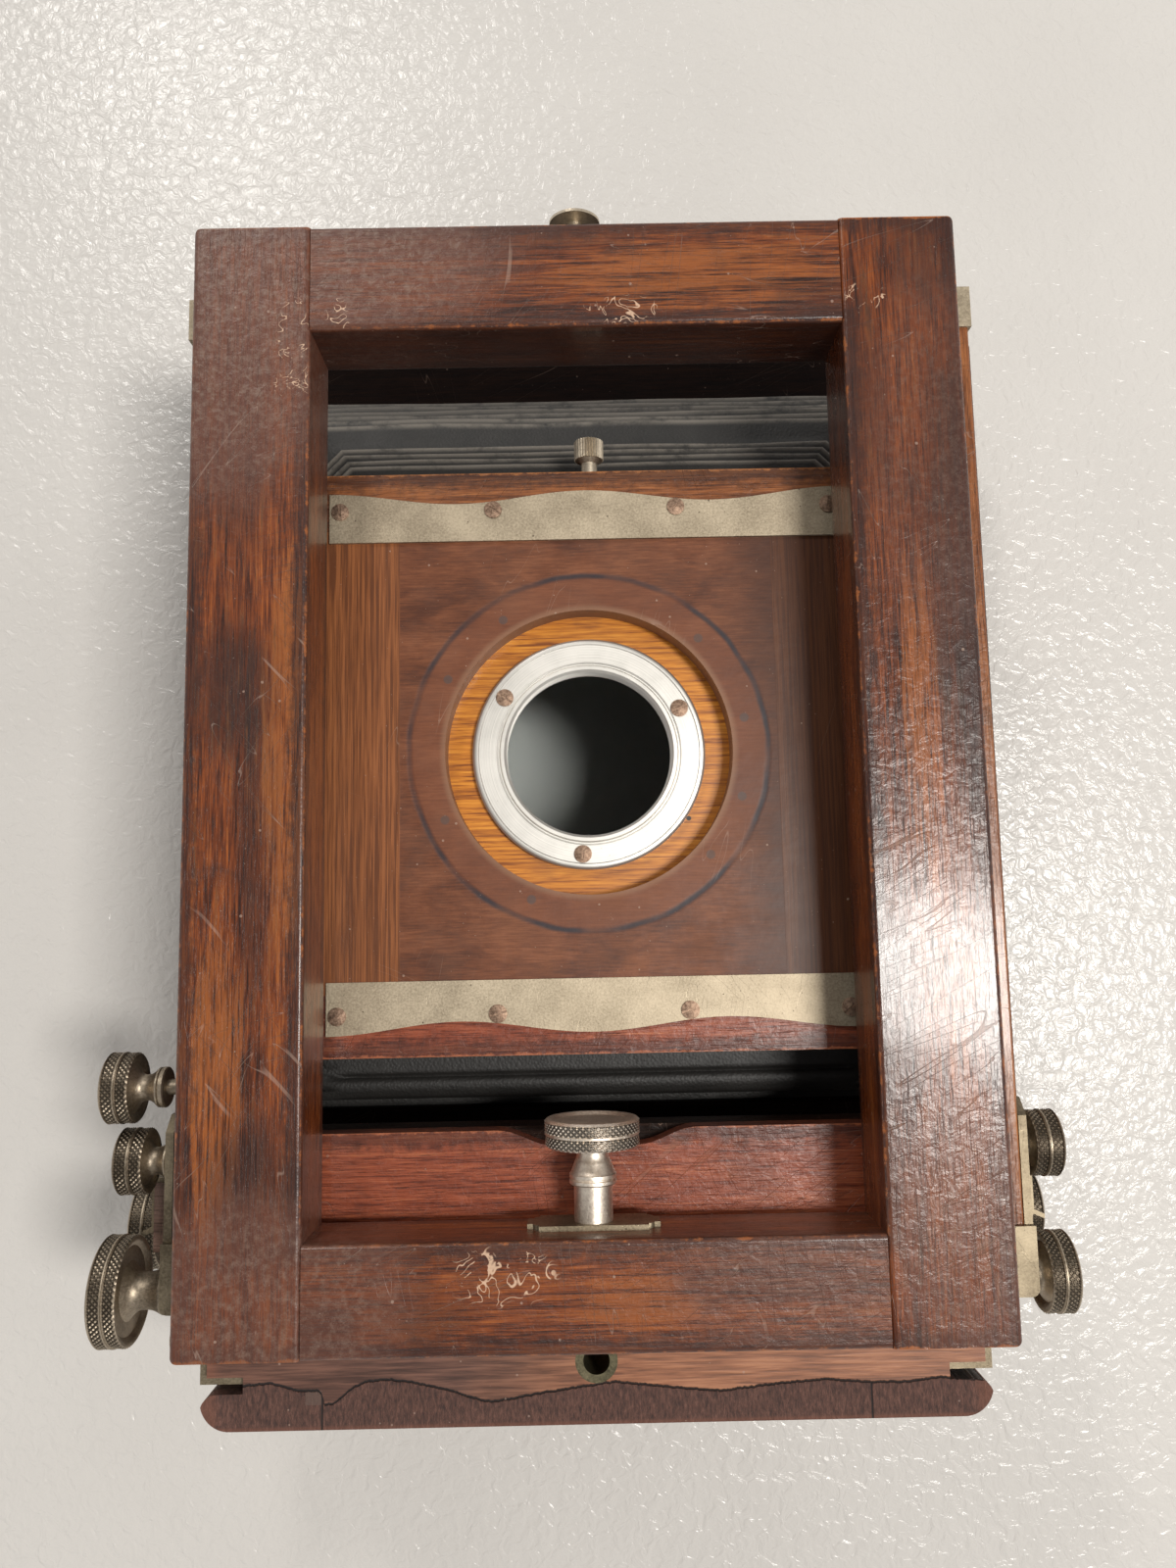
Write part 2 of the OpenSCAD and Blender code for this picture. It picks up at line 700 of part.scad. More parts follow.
module bed_rack() {
  first = first_tooth(front_axis_z - bed_back_z, bed_rack_from);
  count = tooth_count(first, bed_rack_to);
  points = rack_points(first, count);
  face = bed_back_z - front_pitch_h;
  along_x(front_rack_x - rack_w / 2, front_rack_x + rack_w / 2)
    polygon(concat([[bed_rack_from, bed_back_z + rack_inlay], [bed_rack_from, face + rack_ded]],
      [for (p = points) [p[0], face - p[1]]],
      [[bed_rack_to, face + rack_ded], [bed_rack_to, bed_back_z + rack_inlay]]));
}

module bed_racks() color("goldenrod") both() bed_rack();

function roll(r, base_r) = sqrt(max(pow(r / base_r, 2) - 1, 0));
function flank(r, base_r) = roll(r, base_r) * 180 / PI - atan(roll(r, base_r));

// Outline of a pinion whose first tooth points towards the rack
function pinion_points(teeth) =
  let (pr = teeth * tooth_m / 2, base_r = pr * cos(tooth_angle), root = pr - gear_ded, tip = pr + gear_add,
    half = 90 / teeth - tooth_play / 2 / pr * 90 / PI + flank(pr, base_r),
    radii = [root, max(base_r, root), pr, (pr + tip) / 2, tip])
  [for (k = [0 : teeth - 1], side = [-1, 1], i = [0 : len(radii) - 1])
    let (r = radii[side < 0 ? i : len(radii) - 1 - i],
      a = 180 + k * 360 / teeth + side * (half - flank(r, base_r)))
    [r * cos(a), r * sin(a)]];

module pinion(teeth, x0, x1, h, z)
  along_x(x0, x1) translate([h, z]) polygon(pinion_points(teeth));

// A round knob on a shaft along X: its inner end at x = 0, its outer face at x = len
cove_steps = 8;
function cove(len, collar, neck) = [for (i = [0 : cove_steps]) let (t = 2 * i / cove_steps - 1)
  [neck + (collar - neck) * t * t + max(t, 0) * knob_dish, collar_w + (len - collar_w) * i / cove_steps]];

module knob(r, len, collar, neck) {
  rim_in = len - rim_w;
  mid = len - rim_w / 2;
  rotate([0, 90, 0]) rotate_extrude() polygon(concat(
    [[0, 0], [collar, 0]], cove(rim_in + knob_dish, collar, neck),
    [[r - 2 * rim_bevel, rim_in], [r - rim_bevel, rim_in], [r, rim_in + rim_bevel], [r, mid - rim_ring],
      [r - rim_ring, mid], [r, mid + rim_ring], [r, len - rim_bevel], [r - rim_bevel, len],
      [r - 2 * knob_dish, len], [r - 3 * knob_dish, len - knob_dish / 2], [0, len - knob_dish / 2]]));
}

module knob_at(r, x0, x1, h, z, collar, neck)
  translate([x0, bed_top_y + h, z]) knob(r, x1 - x0, collar, neck);

module clamp_knob(r, x0, x1, h, z) knob_at(r, x0, x1, h, z, collar_r, neck_r);

module focus_knob(r, x0, x1, h, z) knob_at(r, x0, x1, h, z, focus_collar_r, focus_neck_r);

// Front bed

module bed_outline() along_z(bed_back_z - cut, bed_front_z + cut)
  round_rect(-half_bed, half_bed, 0, bed_h, corner_round);

module bed_stile() difference() {
  intersection() {
    along_y(0, bed_h) round_rect(stile_in, half_bed, bed_back_z, bed_front_z, edge_round);
    bed_outline();
  }
  block(front_rack_x - rack_w / 2, front_rack_x + rack_w / 2, bed_rack_from, bed_rack_to,
    bed_back_z - cut, bed_back_z + rack_inlay);
}

module bed_stile_right() color("brown") bed_stile();
module bed_stile_left() color("brown") left() bed_stile();

module bed_rail_end() color("sienna")
  along_x(-stile_in, stile_in)
    round_rect(bed_h - end_rail_w, bed_h, bed_back_z, bed_front_z, edge_round);

module bed_rail_hinge() color("sienna") difference() {
  along_x(-stile_in, stile_in) round_rect(0, hinge_rail_w, bed_back_z, bed_front_z, edge_round);
  rod_y(bed_screw_r + running, -cut, hinge_rail_w + cut, 0, bed_screw_axis_z);
  knuckle_hollow(seat);
  for (s = [-1, 1])
    block(s * hinge_x - hinge_len / 2, s * hinge_x + hinge_len / 2, 0, leaf_reach,
      bed_back_z - cut, bed_back_z + leaf_t);
}

module screw_plate() color("silver") difference() {
  along_y(hinge_rail_w, hinge_rail_w + screw_plate_t)
    translate([0, bed_screw_axis_z]) {
      nib = screw_plate_w / 4;
      rect(-screw_plate_len / 2 + nib, screw_plate_len / 2 - nib, -screw_plate_w / 2, screw_plate_w / 2);
      rect(-screw_plate_len / 2, screw_plate_len / 2, -screw_plate_w / 2 + nib, screw_plate_w / 2 - nib);
      for (s = [-1, 1], t = [-1, 1])
        translate([s * (screw_plate_len / 2 - nib), t * (screw_plate_w / 2 - nib)]) circle(nib / 2);
    }
  rod_y(bed_screw_r + running, hinge_rail_w - cut, hinge_rail_w + screw_plate_t + cut, 0, bed_screw_axis_z);
}

module bed_stud() color("goldenrod")
  translate([0, bed_top_y + bed_h, (bed_back_z + bed_front_z) / 2]) rotate([-90, 0, 0])
    rotate_extrude() polygon([[0, 0], [2 * stud_post_r, 0], [2 * stud_post_r, stud_cap_t],
      [stud_post_r, 2 * stud_cap_t], [stud_post_r, stud_gap], [stud_cap_r, stud_gap],
      [stud_cap_r, stud_gap + stud_cap_t], [stud_cap_r / 2, stud_h - stud_dome / 4], [0, stud_h]]);

module bed_screw() color("silver")
  translate([0, bed_top_y, bed_screw_axis_z]) rotate([-90, 0, 0]) {
    shoulder = bed_screw_tip_h + bed_screw_tip_len;
    collar = bed_screw_collar_h + bed_screw_collar_w;
    head = bed_screw_head_h;
    top = head + bed_screw_head_w;
    mid = head + bed_screw_head_w / 2;
    r = bed_screw_head_r;
    rotate_extrude() polygon([[0, bed_screw_tip_h], [bushing_bore_r, bed_screw_tip_h],
      [bushing_bore_r, shoulder], [bed_screw_r, shoulder], [bed_screw_r, bed_screw_collar_h],
      [bed_screw_collar_r, bed_screw_collar_h], [bed_screw_collar_r, collar - rim_bevel],
      [bed_screw_collar_r - rim_bevel, collar], [bed_screw_r, collar], [bed_screw_r, head - bed_screw_flare],
      [bed_screw_r + bed_screw_flare / 3, head - bed_screw_flare / 2], [bed_screw_r + bed_screw_flare, head],
      [r - rim_bevel, head], [r, head + rim_bevel], [r, mid - rim_ring], [r - rim_ring, mid],
      [r, mid + rim_ring], [r, top - rim_bevel], [r - rim_bevel, top], [r - 2 * knob_dish, top],
      [r - 3 * knob_dish, top - knob_dish], [0, top - knob_dish]]);
  }

// Hinges: the base leaf has the two outer knuckles and the pin, the bed leaf the middle one

third = hinge_len / 3;

module leaf_base() {
  knuckle_back = hinge_axis_z - leaf_reach;
  difference() {
    union() {
      block(-hinge_len / 2, hinge_len / 2, -leaf_t, 0, knuckle_back, hinge_axis_z);
      rod_x(knuckle_r, -hinge_len / 2, hinge_len / 2, 0, hinge_axis_z);
    }
    rod_x(knuckle_r + seat, -third / 2 - seat, third / 2 + seat, 0, hinge_axis_z);
  }
  rod_x(pin_r, -hinge_len / 2, hinge_len / 2, 0, hinge_axis_z);
}

module leaf_bed() difference() {
  union() {
    difference() {
      block(-hinge_len / 2, hinge_len / 2, 0, leaf_reach, bed_back_z, bed_back_z + leaf_t);
      for (s = [-1, 1])
        rod_x(knuckle_r + seat, s * third - third / 2 - seat, s * third + third / 2 + seat, 0, hinge_axis_z);
    }
    rod_x(knuckle_r, -third / 2, third / 2, 0, hinge_axis_z);
  }
  rod_x(pin_r + running, -hinge_len, hinge_len, 0, hinge_axis_z);
}

module hinge_leaves_base() color("goldenrod")
  for (s = [-1, 1]) translate([s * hinge_x, 0, 0]) leaf_base();

module hinge_leaves_bed() color("goldenrod")
  for (s = [-1, 1]) translate([s * hinge_x, 0, 0]) leaf_bed();

// Front standard

dip_steps = 8;
function dip_point(i) = dip_flat + (dip_w - dip_flat) * i / dip_steps;

// Height of the foot board's upper edge at a distance from its middle, between the dip's flat and its end
function foot_edge(x) = foot_top - dip_d / 2 * (1 + cos(180 * (x - dip_flat) / (dip_w - dip_flat)));

module front_foot() color("firebrick") on_front()
  along_z(foot_z - foot_t, foot_z)
    polygon(concat([[-upright_in, foot_gap], [upright_in, foot_gap], [upright_in, foot_top]],
      [for (i = [dip_steps : -1 : 0]) let (x = dip_point(i)) [x, foot_edge(x)]],
      [for (i = [0 : dip_steps]) let (x = dip_point(i)) [-x, foot_edge(x)]],
      [[-upright_in, foot_top]]));

module front_sill() color("saddlebrown") on_front()
  block(-upright_in, upright_in, sill_low, foot_top, foot_z - foot_t - sill_t, foot_z - foot_t);

module upright() difference() {
  along_y(foot_gap, upright_top)
    round_rect(upright_in, upright_out, upright_back_z, panel_z, edge_round / 2);
  block(upright_in - cut, upright_in + groove_d, tongue_low - rise_down - cut, upright_top + cut,
    groove_z, groove_z + groove_w);
  rod_x(shaft_r + running, upright_in - cut, upright_out + cut, front_axis_h, front_axis_z);
  rod_x(clamp_r + running, upright_out - clamp_depth, upright_out + cut, side_clamp_h, front_axis_z);
}

module upright_right() color("brown") on_front() upright();

module upright_left() color("brown") on_front() difference() {
  left() upright();
  rod_x(clamp_r + running, -upright_out - cut, -upright_in - groove_d + cut, rise_clamp_h,
    groove_z + groove_w / 2);
}

module upright_cap() difference() {
  block(upright_in, upright_out + cap_t, upright_top - cap_h, upright_top + cap_t,
    upright_back_z - cap_t, panel_z + cap_t);
  along_y(upright_top - cap_h - cut, upright_top)
    round_rect(upright_in - cut, upright_out, upright_back_z, panel_z, edge_round / 2);
}

module upright_caps() color("silver") on_front() both() upright_cap();

module side_plate() {
  difference() {
    along_x(upright_out, plate_out) polygon([[foot_gap, upright_back_z],
      [plate_top - plate_chamfer, upright_back_z], [plate_top, upright_back_z + plate_chamfer],
      [plate_top, panel_z - plate_chamfer], [plate_top - plate_chamfer, panel_z], [foot_gap, panel_z]]);
    rod_x(shaft_r + running, upright_out - cut, plate_out + cut, front_axis_h, front_axis_z);
    rod_x(clamp_r + running, upright_out - cut, plate_out + cut, side_clamp_h, front_axis_z);
  }
  along_z(panel_z, panel_z + plate_t) {
    rect(upright_in + plate_t, plate_out, foot_gap + plate_t, flange_h);
    rect(upright_in + 2 * plate_t, plate_out - plate_t, foot_gap, foot_gap + plate_t);
    for (x = [upright_in + 2 * plate_t, plate_out - plate_t])
      translate([x, foot_gap + plate_t]) circle(plate_t);
  }
}

module side_plate_right() color("silver") on_front() {
  side_plate();
  block(upright_out, upright_out + plate_strip_t, plate_top - plate_chamfer - cut, plate_strip_top,
    panel_z - plate_chamfer - plate_strip_w, panel_z - plate_chamfer);
}

module side_plate_left() color("silver") on_front() left() side_plate();

// A guide of C section that hooks into the side groove of the base
module guide(z0, z1) along_z(z0, z1) {
  rect(upright_in - guide_lap, guide_out, foot_gap - guide_t, foot_gap);
  rect(guide_x, guide_out, -guide_drop - guide_t, foot_gap);
  rect(half_bed - guide_in, guide_out, -guide_drop - guide_t, -guide_drop);
}

module front_guides() color("silver") both() difference() {
  guide(guide_front_z - front_guide_len, guide_front_z);
  rod_x(clamp_r + running, guide_x - cut, guide_out + cut, -guide_knob_drop, guide_knob_z);
}

module front_pinion_shaft() color("silver") {
  on_front() rod_x(shaft_r, -plate_out - seat, plate_out + seat, front_axis_h, front_axis_z);
  for (s = [-1, 1]) pinion(front_teeth, s * front_rack_x - rack_w / 2, s * front_rack_x + rack_w / 2,
    front_axis_h, front_axis_z);
}

module focus_knob_right() color("silver") on_front()
  focus_knob(focus_knob_right_r, plate_out + seat, focus_knob_right_x, front_axis_h, front_axis_z);

module focus_knob_left() color("silver") on_front() left()
  focus_knob(focus_knob_left_r, plate_out + seat, focus_knob_left_x, front_axis_h, front_axis_z);

module side_clamp(x) {
  clamp_knob(side_knob_r, plate_out + seat, x, side_clamp_h, front_axis_z);
  rod_x(clamp_r, upright_out - clamp_depth + seat, plate_out + 2 * seat, side_clamp_h, front_axis_z);
}

module side_clamp_right() color("silver") on_front() {
  x = side_knob_right_x;
  side_clamp(x);
  rod_x(clamp_r, x - 2 * knob_dish, x + clamp_end, side_clamp_h, front_axis_z);
}

module side_clamp_left() color("silver") on_front() left() side_clamp(side_knob_left_x);

module rise_clamp_knob() color("silver") on_front() left() {
  z = groove_z + groove_w / 2;
  clamp_knob(rise_knob_r, upright_out + rise_clamp_out, rise_knob_x, rise_clamp_h, z);
  rod_x(clamp_r, upright_in + groove_d + seat, upright_out + rise_clamp_out + cut, rise_clamp_h, z);
}

module guide_clamp() {
  neck = guide_out + seat;
  r = guide_knob_r;
  rod_x(clamp_r, tongue_x + seat, neck + cut, -guide_knob_drop, guide_knob_z);
  translate([neck, bed_top_y - guide_knob_drop, guide_knob_z]) rotate([0, 90, 0]) rotate_extrude()
    polygon([[0, 0], [guide_neck_r, 0], [guide_neck_r, guide_neck_len], [r - rim_bevel, guide_neck_len],
      [r, guide_neck_len + rim_bevel], [r, guide_knob_len - rim_bevel], [r - rim_bevel, guide_knob_len],
      [0, guide_knob_len]]);
}

module guide_clamp_right() color("silver") guide_clamp();
module guide_clamp_left() color("silver") left() guide_clamp();

// Lens panel

module panel_stiles() color("brown") on_front() both() {
  block(board_w / 2, upright_in - panel_play, panel_low, panel_high, panel_back_z, panel_z);
  // Below the stile the tongue is narrower, so that it passes the sill's end
  for (edge = [[-panel_play, panel_low], [panel_play, tongue_low]])
    block(upright_in + edge[0], upright_in + groove_d - panel_play, edge[1], panel_high,
      groove_z + panel_play, groove_z + groove_w - panel_play);
}

module panel_rail_top() color("peru") on_front() difference() {
  block(-board_w / 2, board_w / 2, board_high, panel_high, panel_back_z, panel_z);
  rod_y(lock_screw_r + running, panel_high - lock_len, panel_high + cut, lock_x, panel_z - panel_t / 2);
}

module panel_rail_bottom() color("peru") on_front()
  block(-board_w / 2, board_w / 2, panel_low, board_low, panel_back_z, panel_z);

module lens_board() color("sienna") on_front() difference() {
  block(-board_w / 2, board_w / 2, board_low, board_high, board_back_z, panel_z);
  rod_z(recess_r, board_back_z - cut, panel_z + cut, 0, lens_h);
}

module lens_board_back() color("orange") on_front() difference() {
  block(-board_w / 2, board_w / 2, board_low, board_high, board_rear_z, board_back_z);
  rod_z(flange_bore_r + spigot_wall, board_rear_z - cut, board_back_z + cut, 0, lens_h);
}

module lens_flange() color("whitesmoke") on_front()
  translate([0, bed_top_y + lens_h, board_back_z]) {
    lip_r = flange_bore_r + spigot_wall;
    lip_z = flange_t + flange_lip;
    rotate_extrude() polygon([[flange_bore_r, -spigot_len], [lip_r, -spigot_len], [lip_r, 0], [flange_r, 0],
      [flange_r, flange_t - flange_bevel], [flange_r - flange_bevel, flange_t], [lip_r, flange_t],
      [lip_r - flange_groove, flange_t - flange_groove], [lip_r - 2 * flange_groove, lip_z],
      [flange_bore_r, lip_z]]);
  }

module slotted_screw(turn) difference() {
  rotate_extrude() polygon([[0, 0], [screw_r, 0], [screw_r, screw_t / 2], [0, screw_t]]);
  rotate([0, 0, turn]) translate([-screw_r - cut, -slot_w / 2, screw_t / 2])
    cube([2 * screw_r + 2 * cut, slot_w, screw_t]);
}

module panel_screws() color("peru") on_front() {
  for (s = [-1, 1], x = [strip_screw_in, strip_screw_out]) {
    translate([s * x, bed_top_y + board_high - strip_lap + strip_screw_up, strip_z]) slotted_screw(s * x);
    translate([s * x, bed_top_y + board_low + strip_lap - strip_screw_up, strip_z]) slotted_screw(x / 2);
  }
  for (k = [0 : 2]) {
    a = flange_screw_turn + k * 120;
    translate([flange_screw_ring * cos(a), bed_top_y + lens_h + flange_screw_ring * sin(a),
      board_back_z + flange_t]) slotted_screw(a);
  }
}

// Width of a strip at x: widest at its middle and ends
function strip_edge(x) = strip_w - strip_wave / 2 * (1 - cos(720 * x / strip_len));

module strip_outline(dir) {
  steps = 40;
  polygon(concat([[-strip_len / 2, 0], [strip_len / 2, 0]],
    [for (i = [steps : -1 : 0]) let (x = strip_len * (i / steps - 0.5)) [x, dir * strip_edge(x)]]));
}

module strip_top() color("silver") on_front()
  along_z(panel_z, strip_z) translate([0, board_high - strip_lap]) strip_outline(1);

module strip_bottom() color("silver") on_front()
  along_z(panel_z, strip_z) translate([0, board_low + strip_lap]) strip_outline(-1);

module ring_frame(half_x, half_h, width, mid, z0, z1) along_z(z0, z1) difference() {
  rect(-half_x, half_x, mid - half_h, mid + half_h);
  rect(width - half_x, half_x - width, mid - half_h + width, mid + half_h - width);
}

module bellows_front_frame() color("dimgray") on_front()
  ring_frame(panel_h / 2, panel_h / 2, front_bellows_w, panel_mid,
    panel_back_z - front_bellows_t, panel_back_z);

module board_lock_screw() color("silver") on_front()
  translate([lock_x, bed_top_y + panel_high, panel_z - panel_t / 2]) rotate([-90, 0, 0]) {
    root_r = lock_r - lock_ridge_d;
    rim_r = root_r - lock_ridge_d;
    translate([0, 0, seat - lock_len]) cylinder(r = lock_screw_r, h = lock_len);
    rotate_extrude() polygon([[0, seat], [lock_neck_r + lock_flare / 2, seat],
      [lock_neck_r, seat + lock_flare], [lock_neck_r, lock_neck_h - lock_flare],
      [rim_r, lock_neck_h], [0, lock_neck_h]]);
    translate([0, 0, lock_neck_h]) linear_extrude(lock_head_h) polygon([for (i = [0 : 2 * lock_ridges - 1])
      let (r = lock_r - (i % 2) * lock_ridge_d, a = i * 180 / lock_ridges) [r * cos(a), r * sin(a)]]);
    translate([0, 0, lock_neck_h + lock_head_h])
      cylinder(r1 = rim_r, r2 = rim_r - lock_ridge_d, h = lock_ridge_d);
  }

// Bellows: rings of eight points, alternately on a ridge and in a valley

function octagon(half, corner) = let (c = half - corner)
  [[half, c], [c, half], [-c, half], [-half, c], [-half, -c], [-c, -half], [c, -half], [half, -c]];

function bellows_ring(i, inward) = let (
  t = i / (2 * folds), ridge = bellows_front + (bellows_rear - bellows_front) * t,
  half = ridge - (i % 2 == 0 ? fold_d : 0) - inward,
  x = front_shift + (rear_shift - front_shift) * t,
  y = bed_top_y + panel_mid + (rear_mid - panel_mid) * t,
  z = bellows_front_z + (bellows_rear_z - bellows_front_z) * t)
  [for (p = octagon(half, ridge * bellows_corner)) [x + p[0], y + p[1], z]];

rings = 2 * folds + 1;

// The two triangles between point k of one ring and the next ring, seen from outside or inside
function skin(a, b, k, out) = let (n = (k + 1) % 8) out
  ? [[a + k, b + k, b + n], [a + k, b + n, a + n]] : [[a + k, b + n, b + k], [a + k, a + n, b + n]];

module bellows() color("dimgray") {
  points = concat(
    [for (i = [0 : rings - 1], p = bellows_ring(i, 0)) p],
    [for (i = [0 : rings - 1], p = bellows_ring(i, leather_t)) p]);
  far = 8 * rings;
  last = 8 * (rings - 1);
  polyhedron(points, concat(
    [for (i = [0 : rings - 2], k = [0 : 7], f = skin(8 * i, 8 * i + 8, k, true)) f],
    [for (i = [0 : rings - 2], k = [0 : 7], f = skin(far + 8 * i, far + 8 * i + 8, k, false)) f],
    [for (k = [0 : 7], f = skin(far, 0, k, true)) f],
    [for (k = [0 : 7], f = skin(last, far + last, k, true)) f]));
}

// Rear standard

module rear_sill() color("saddlebrown") difference() {
  block(sill_end_set - cheek_x, cheek_x - sill_end_set, foot_gap, rear_low, rear_z, rear_sill_z);
  for (s = [-1, 1])
    block(s * rear_rack_x - tunnel_w / 2, s * rear_rack_x + tunnel_w / 2, foot_gap - cut,
      rear_pitch_h + rack_add + 2 * tunnel_gap, rear_z - cut, rear_sill_z + cut);
}

module rear_cheeks() color("saddlebrown") both() difference() {
  block(cheek_x - cheek_w, cheek_x, foot_gap, rear_low, rear_sill_z, cheek_front_z);
  rod_x(shaft_r + running, cheek_x - cheek_w - cut, cheek_x + cut, rear_axis_h, rear_axis_z);
}

module rear_stiles() color("brown") on_rear() both()
  along_y(rear_low, rear_high)
    round_rect(rear_in, rear_half, rear_z, rear_front_z, rear_round);

module rear_rails() color("sienna") on_rear() {
  for (h = [rear_low, rear_high - rear_member_w])
    along_x(-rear_in, rear_in) round_rect(h, h + rear_member_w, rear_z, rear_front_z, edge_round);
}

module side_pads() color("rosybrown") both()
  block(cheek_x, cheek_x + pad_w, pad_low, pad_low + pad_h, pad_z, cheek_front_z);

module pad_clips() color("silver") both() {
  top = pad_low + pad_h;
  out = cheek_x + pad_w;
  low = pad_low + pad_h / 3;
  along_z(clip_z, clip_z + clip_w) {
    rect(cheek_x, out + clip_t, top, top + clip_t);
    rect(out, out + clip_t, low, top + clip_t);
    polygon([[out, low], [out + clip_t, low], [out + clip_t + clip_flare, low - clip_t],
      [out + clip_t + clip_flare, low - 2 * clip_t], [out + clip_t, low - clip_t], [out, low - clip_t]]);
  }
}

module rear_guides() color("silver") both() guide(rear_guide_z, rear_guide_z + rear_guide_len);

module bellows_rear_frame() color("dimgray") on_rear()
  ring_frame(rear_in, rear_h / 2 - rear_member_w, rear_bellows_w, rear_mid,
    rear_front_z - rear_bellows_t, rear_front_z);

module rear_pinion_shaft() color("silver") {
  rod_x(shaft_r, -cheek_x - seat, cheek_x + seat, rear_axis_h, rear_axis_z);
  for (s = [-1, 1]) pinion(rear_teeth, s * rear_rack_x - rack_w / 2, s * rear_rack_x + rack_w / 2,
    rear_axis_h, rear_axis_z);
}

module rear_knobs() color("silver") {
  focus_knob(rear_knob_right_r, cheek_x + seat, rear_half, rear_axis_h, rear_axis_z);
  left() focus_knob(rear_knob_left_r, cheek_x + seat, rear_knob_left_x, rear_axis_h, rear_axis_z);
}

// Back: stiles run full height, rails between them

module back_frame() color("sienna") on_rear() {
  both() block(picture_x, back_w / 2, rear_mid - back_w / 2, rear_mid + back_w / 2, back_back_z, rear_z);
  for (s = [0, 1]) {
    h = rear_mid + (s == 0 ? -back_w / 2 : picture_y);
    block(-picture_x, picture_x, h, h + back_w / 2 - picture_y, back_back_z, rear_z);
  }
}

module glass_frame() color("brown") on_rear() difference() {
  half_w = glass_frame_w / 2;
  half_h = glass_frame_h / 2;
  union() {
    both() {
      block(glass_x - glass_lap, half_w - spring_shelf, rear_mid - half_h, rear_mid + half_h,
        0, glass_frame_t);
      block(half_w - spring_shelf, half_w, rear_mid - half_h + shelf_end, rear_mid + half_h - shelf_end,
        shelf_z, glass_frame_t);
    }
    for (h = [rear_mid - half_h, rear_mid + glass_y - glass_lap])
      block(glass_lap - glass_x, glass_x - glass_lap, h, h + half_h - glass_y + glass_lap, 0, glass_frame_t);
  }
  block(-glass_x, glass_x, rear_mid - glass_y, rear_mid + glass_y, glass_z, glass_frame_t + cut);
}

module ground_glass() color("lightcyan") on_rear()
  block(-glass_x, glass_x, rear_mid - glass_y, rear_mid + glass_y, glass_z, glass_z + glass_t);

module leaf_springs() color("silver") on_rear() both() {
  end = glass_frame_h / 2 - shelf_end + spring_lap;
  foot = end + spring_rise;
  tip = foot + spring_foot;
  along_x(spring_x - spring_w / 2, spring_x + spring_w / 2)
    translate([rear_mid, 0]) polygon([[-end, spring_z - spring_t], [end, spring_z - spring_t],
      [foot, back_back_z - spring_t], [tip, back_back_z - spring_t], [tip, back_back_z],
      [foot, back_back_z], [end, spring_z], [-end, spring_z], [-foot, back_back_z], [-tip, back_back_z],
      [-tip, back_back_z - spring_t], [-foot, back_back_z - spring_t]]);
}

base_rail_left();
base_rail_right();
base_cross_front();
base_board();
bed_bushing();
tripod_bushing();
base_racks();
rear_racks();
hinge_leaves_base();
bed_stile_left();
bed_stile_right();
bed_rail_end();
bed_rail_hinge();
bed_racks();
hinge_leaves_bed();
screw_plate();
bed_stud();
bed_screw();
front_foot();
front_sill();
upright_left();
upright_right();
upright_caps();
side_plate_left();
side_plate_right();
front_guides();
front_pinion_shaft();
focus_knob_left();
focus_knob_right();
rise_clamp_knob();
side_clamp_left();
side_clamp_right();
guide_clamp_left();
guide_clamp_right();
panel_stiles();
panel_rail_top();
panel_rail_bottom();
lens_board();
lens_board_back();
lens_flange();
panel_screws();
strip_top();
strip_bottom();
bellows_front_frame();
board_lock_screw();
bellows();
rear_sill();
rear_cheeks();
rear_stiles();
rear_rails();
side_pads();
pad_clips();
rear_guides();
bellows_rear_frame();
back_frame();
rear_pinion_shaft();
rear_knobs();
glass_frame();
ground_glass();
leaf_springs();
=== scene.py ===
# %% [markdown]
# # A folded view camera of mahogany, nickel and leather
# The camera lies on its back, folded, and is looked at from above its lens. The solid model of every piece
# is already made, in metres, with X to the right, Y up the camera and Z out through the lens. This lesson
# gives each piece its finish, and models again what the solids leave plain: the diamond knurling of the
# knobs, the thread of the lens flange, the worn edges of the wood and the folds of the bellows.

# %% Load the camera's pieces
import math

import bpy
import numpy as np
from mathutils import Matrix, Vector, noise


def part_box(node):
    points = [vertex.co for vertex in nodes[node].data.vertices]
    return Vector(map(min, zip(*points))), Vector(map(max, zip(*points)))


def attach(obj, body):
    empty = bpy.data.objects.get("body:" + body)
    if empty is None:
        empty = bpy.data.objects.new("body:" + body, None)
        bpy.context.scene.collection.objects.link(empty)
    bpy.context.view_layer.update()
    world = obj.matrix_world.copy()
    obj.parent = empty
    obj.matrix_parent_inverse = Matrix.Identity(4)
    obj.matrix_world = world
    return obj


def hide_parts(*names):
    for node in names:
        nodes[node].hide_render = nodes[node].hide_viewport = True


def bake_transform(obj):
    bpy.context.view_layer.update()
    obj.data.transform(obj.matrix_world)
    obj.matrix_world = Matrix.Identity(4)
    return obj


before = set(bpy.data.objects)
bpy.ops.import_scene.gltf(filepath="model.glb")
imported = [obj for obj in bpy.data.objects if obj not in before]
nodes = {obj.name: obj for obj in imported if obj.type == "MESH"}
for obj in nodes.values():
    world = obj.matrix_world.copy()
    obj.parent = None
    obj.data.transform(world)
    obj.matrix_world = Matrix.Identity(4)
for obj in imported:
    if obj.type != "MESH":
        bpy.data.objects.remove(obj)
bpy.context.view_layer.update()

# %% Sizes in millimetres
MM = 0.001


def box_mm(name):
    low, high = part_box(name)
    return np.array(low) / MM, np.array(high) / MM


bed_low, bed_high = box_mm("bed_stile_left")
bed_top = bed_low[1]
bed_front = bed_high[2]
print("hinge line at y", round(bed_top, 1), "mm, bed's front at z", round(bed_front, 1), "mm")

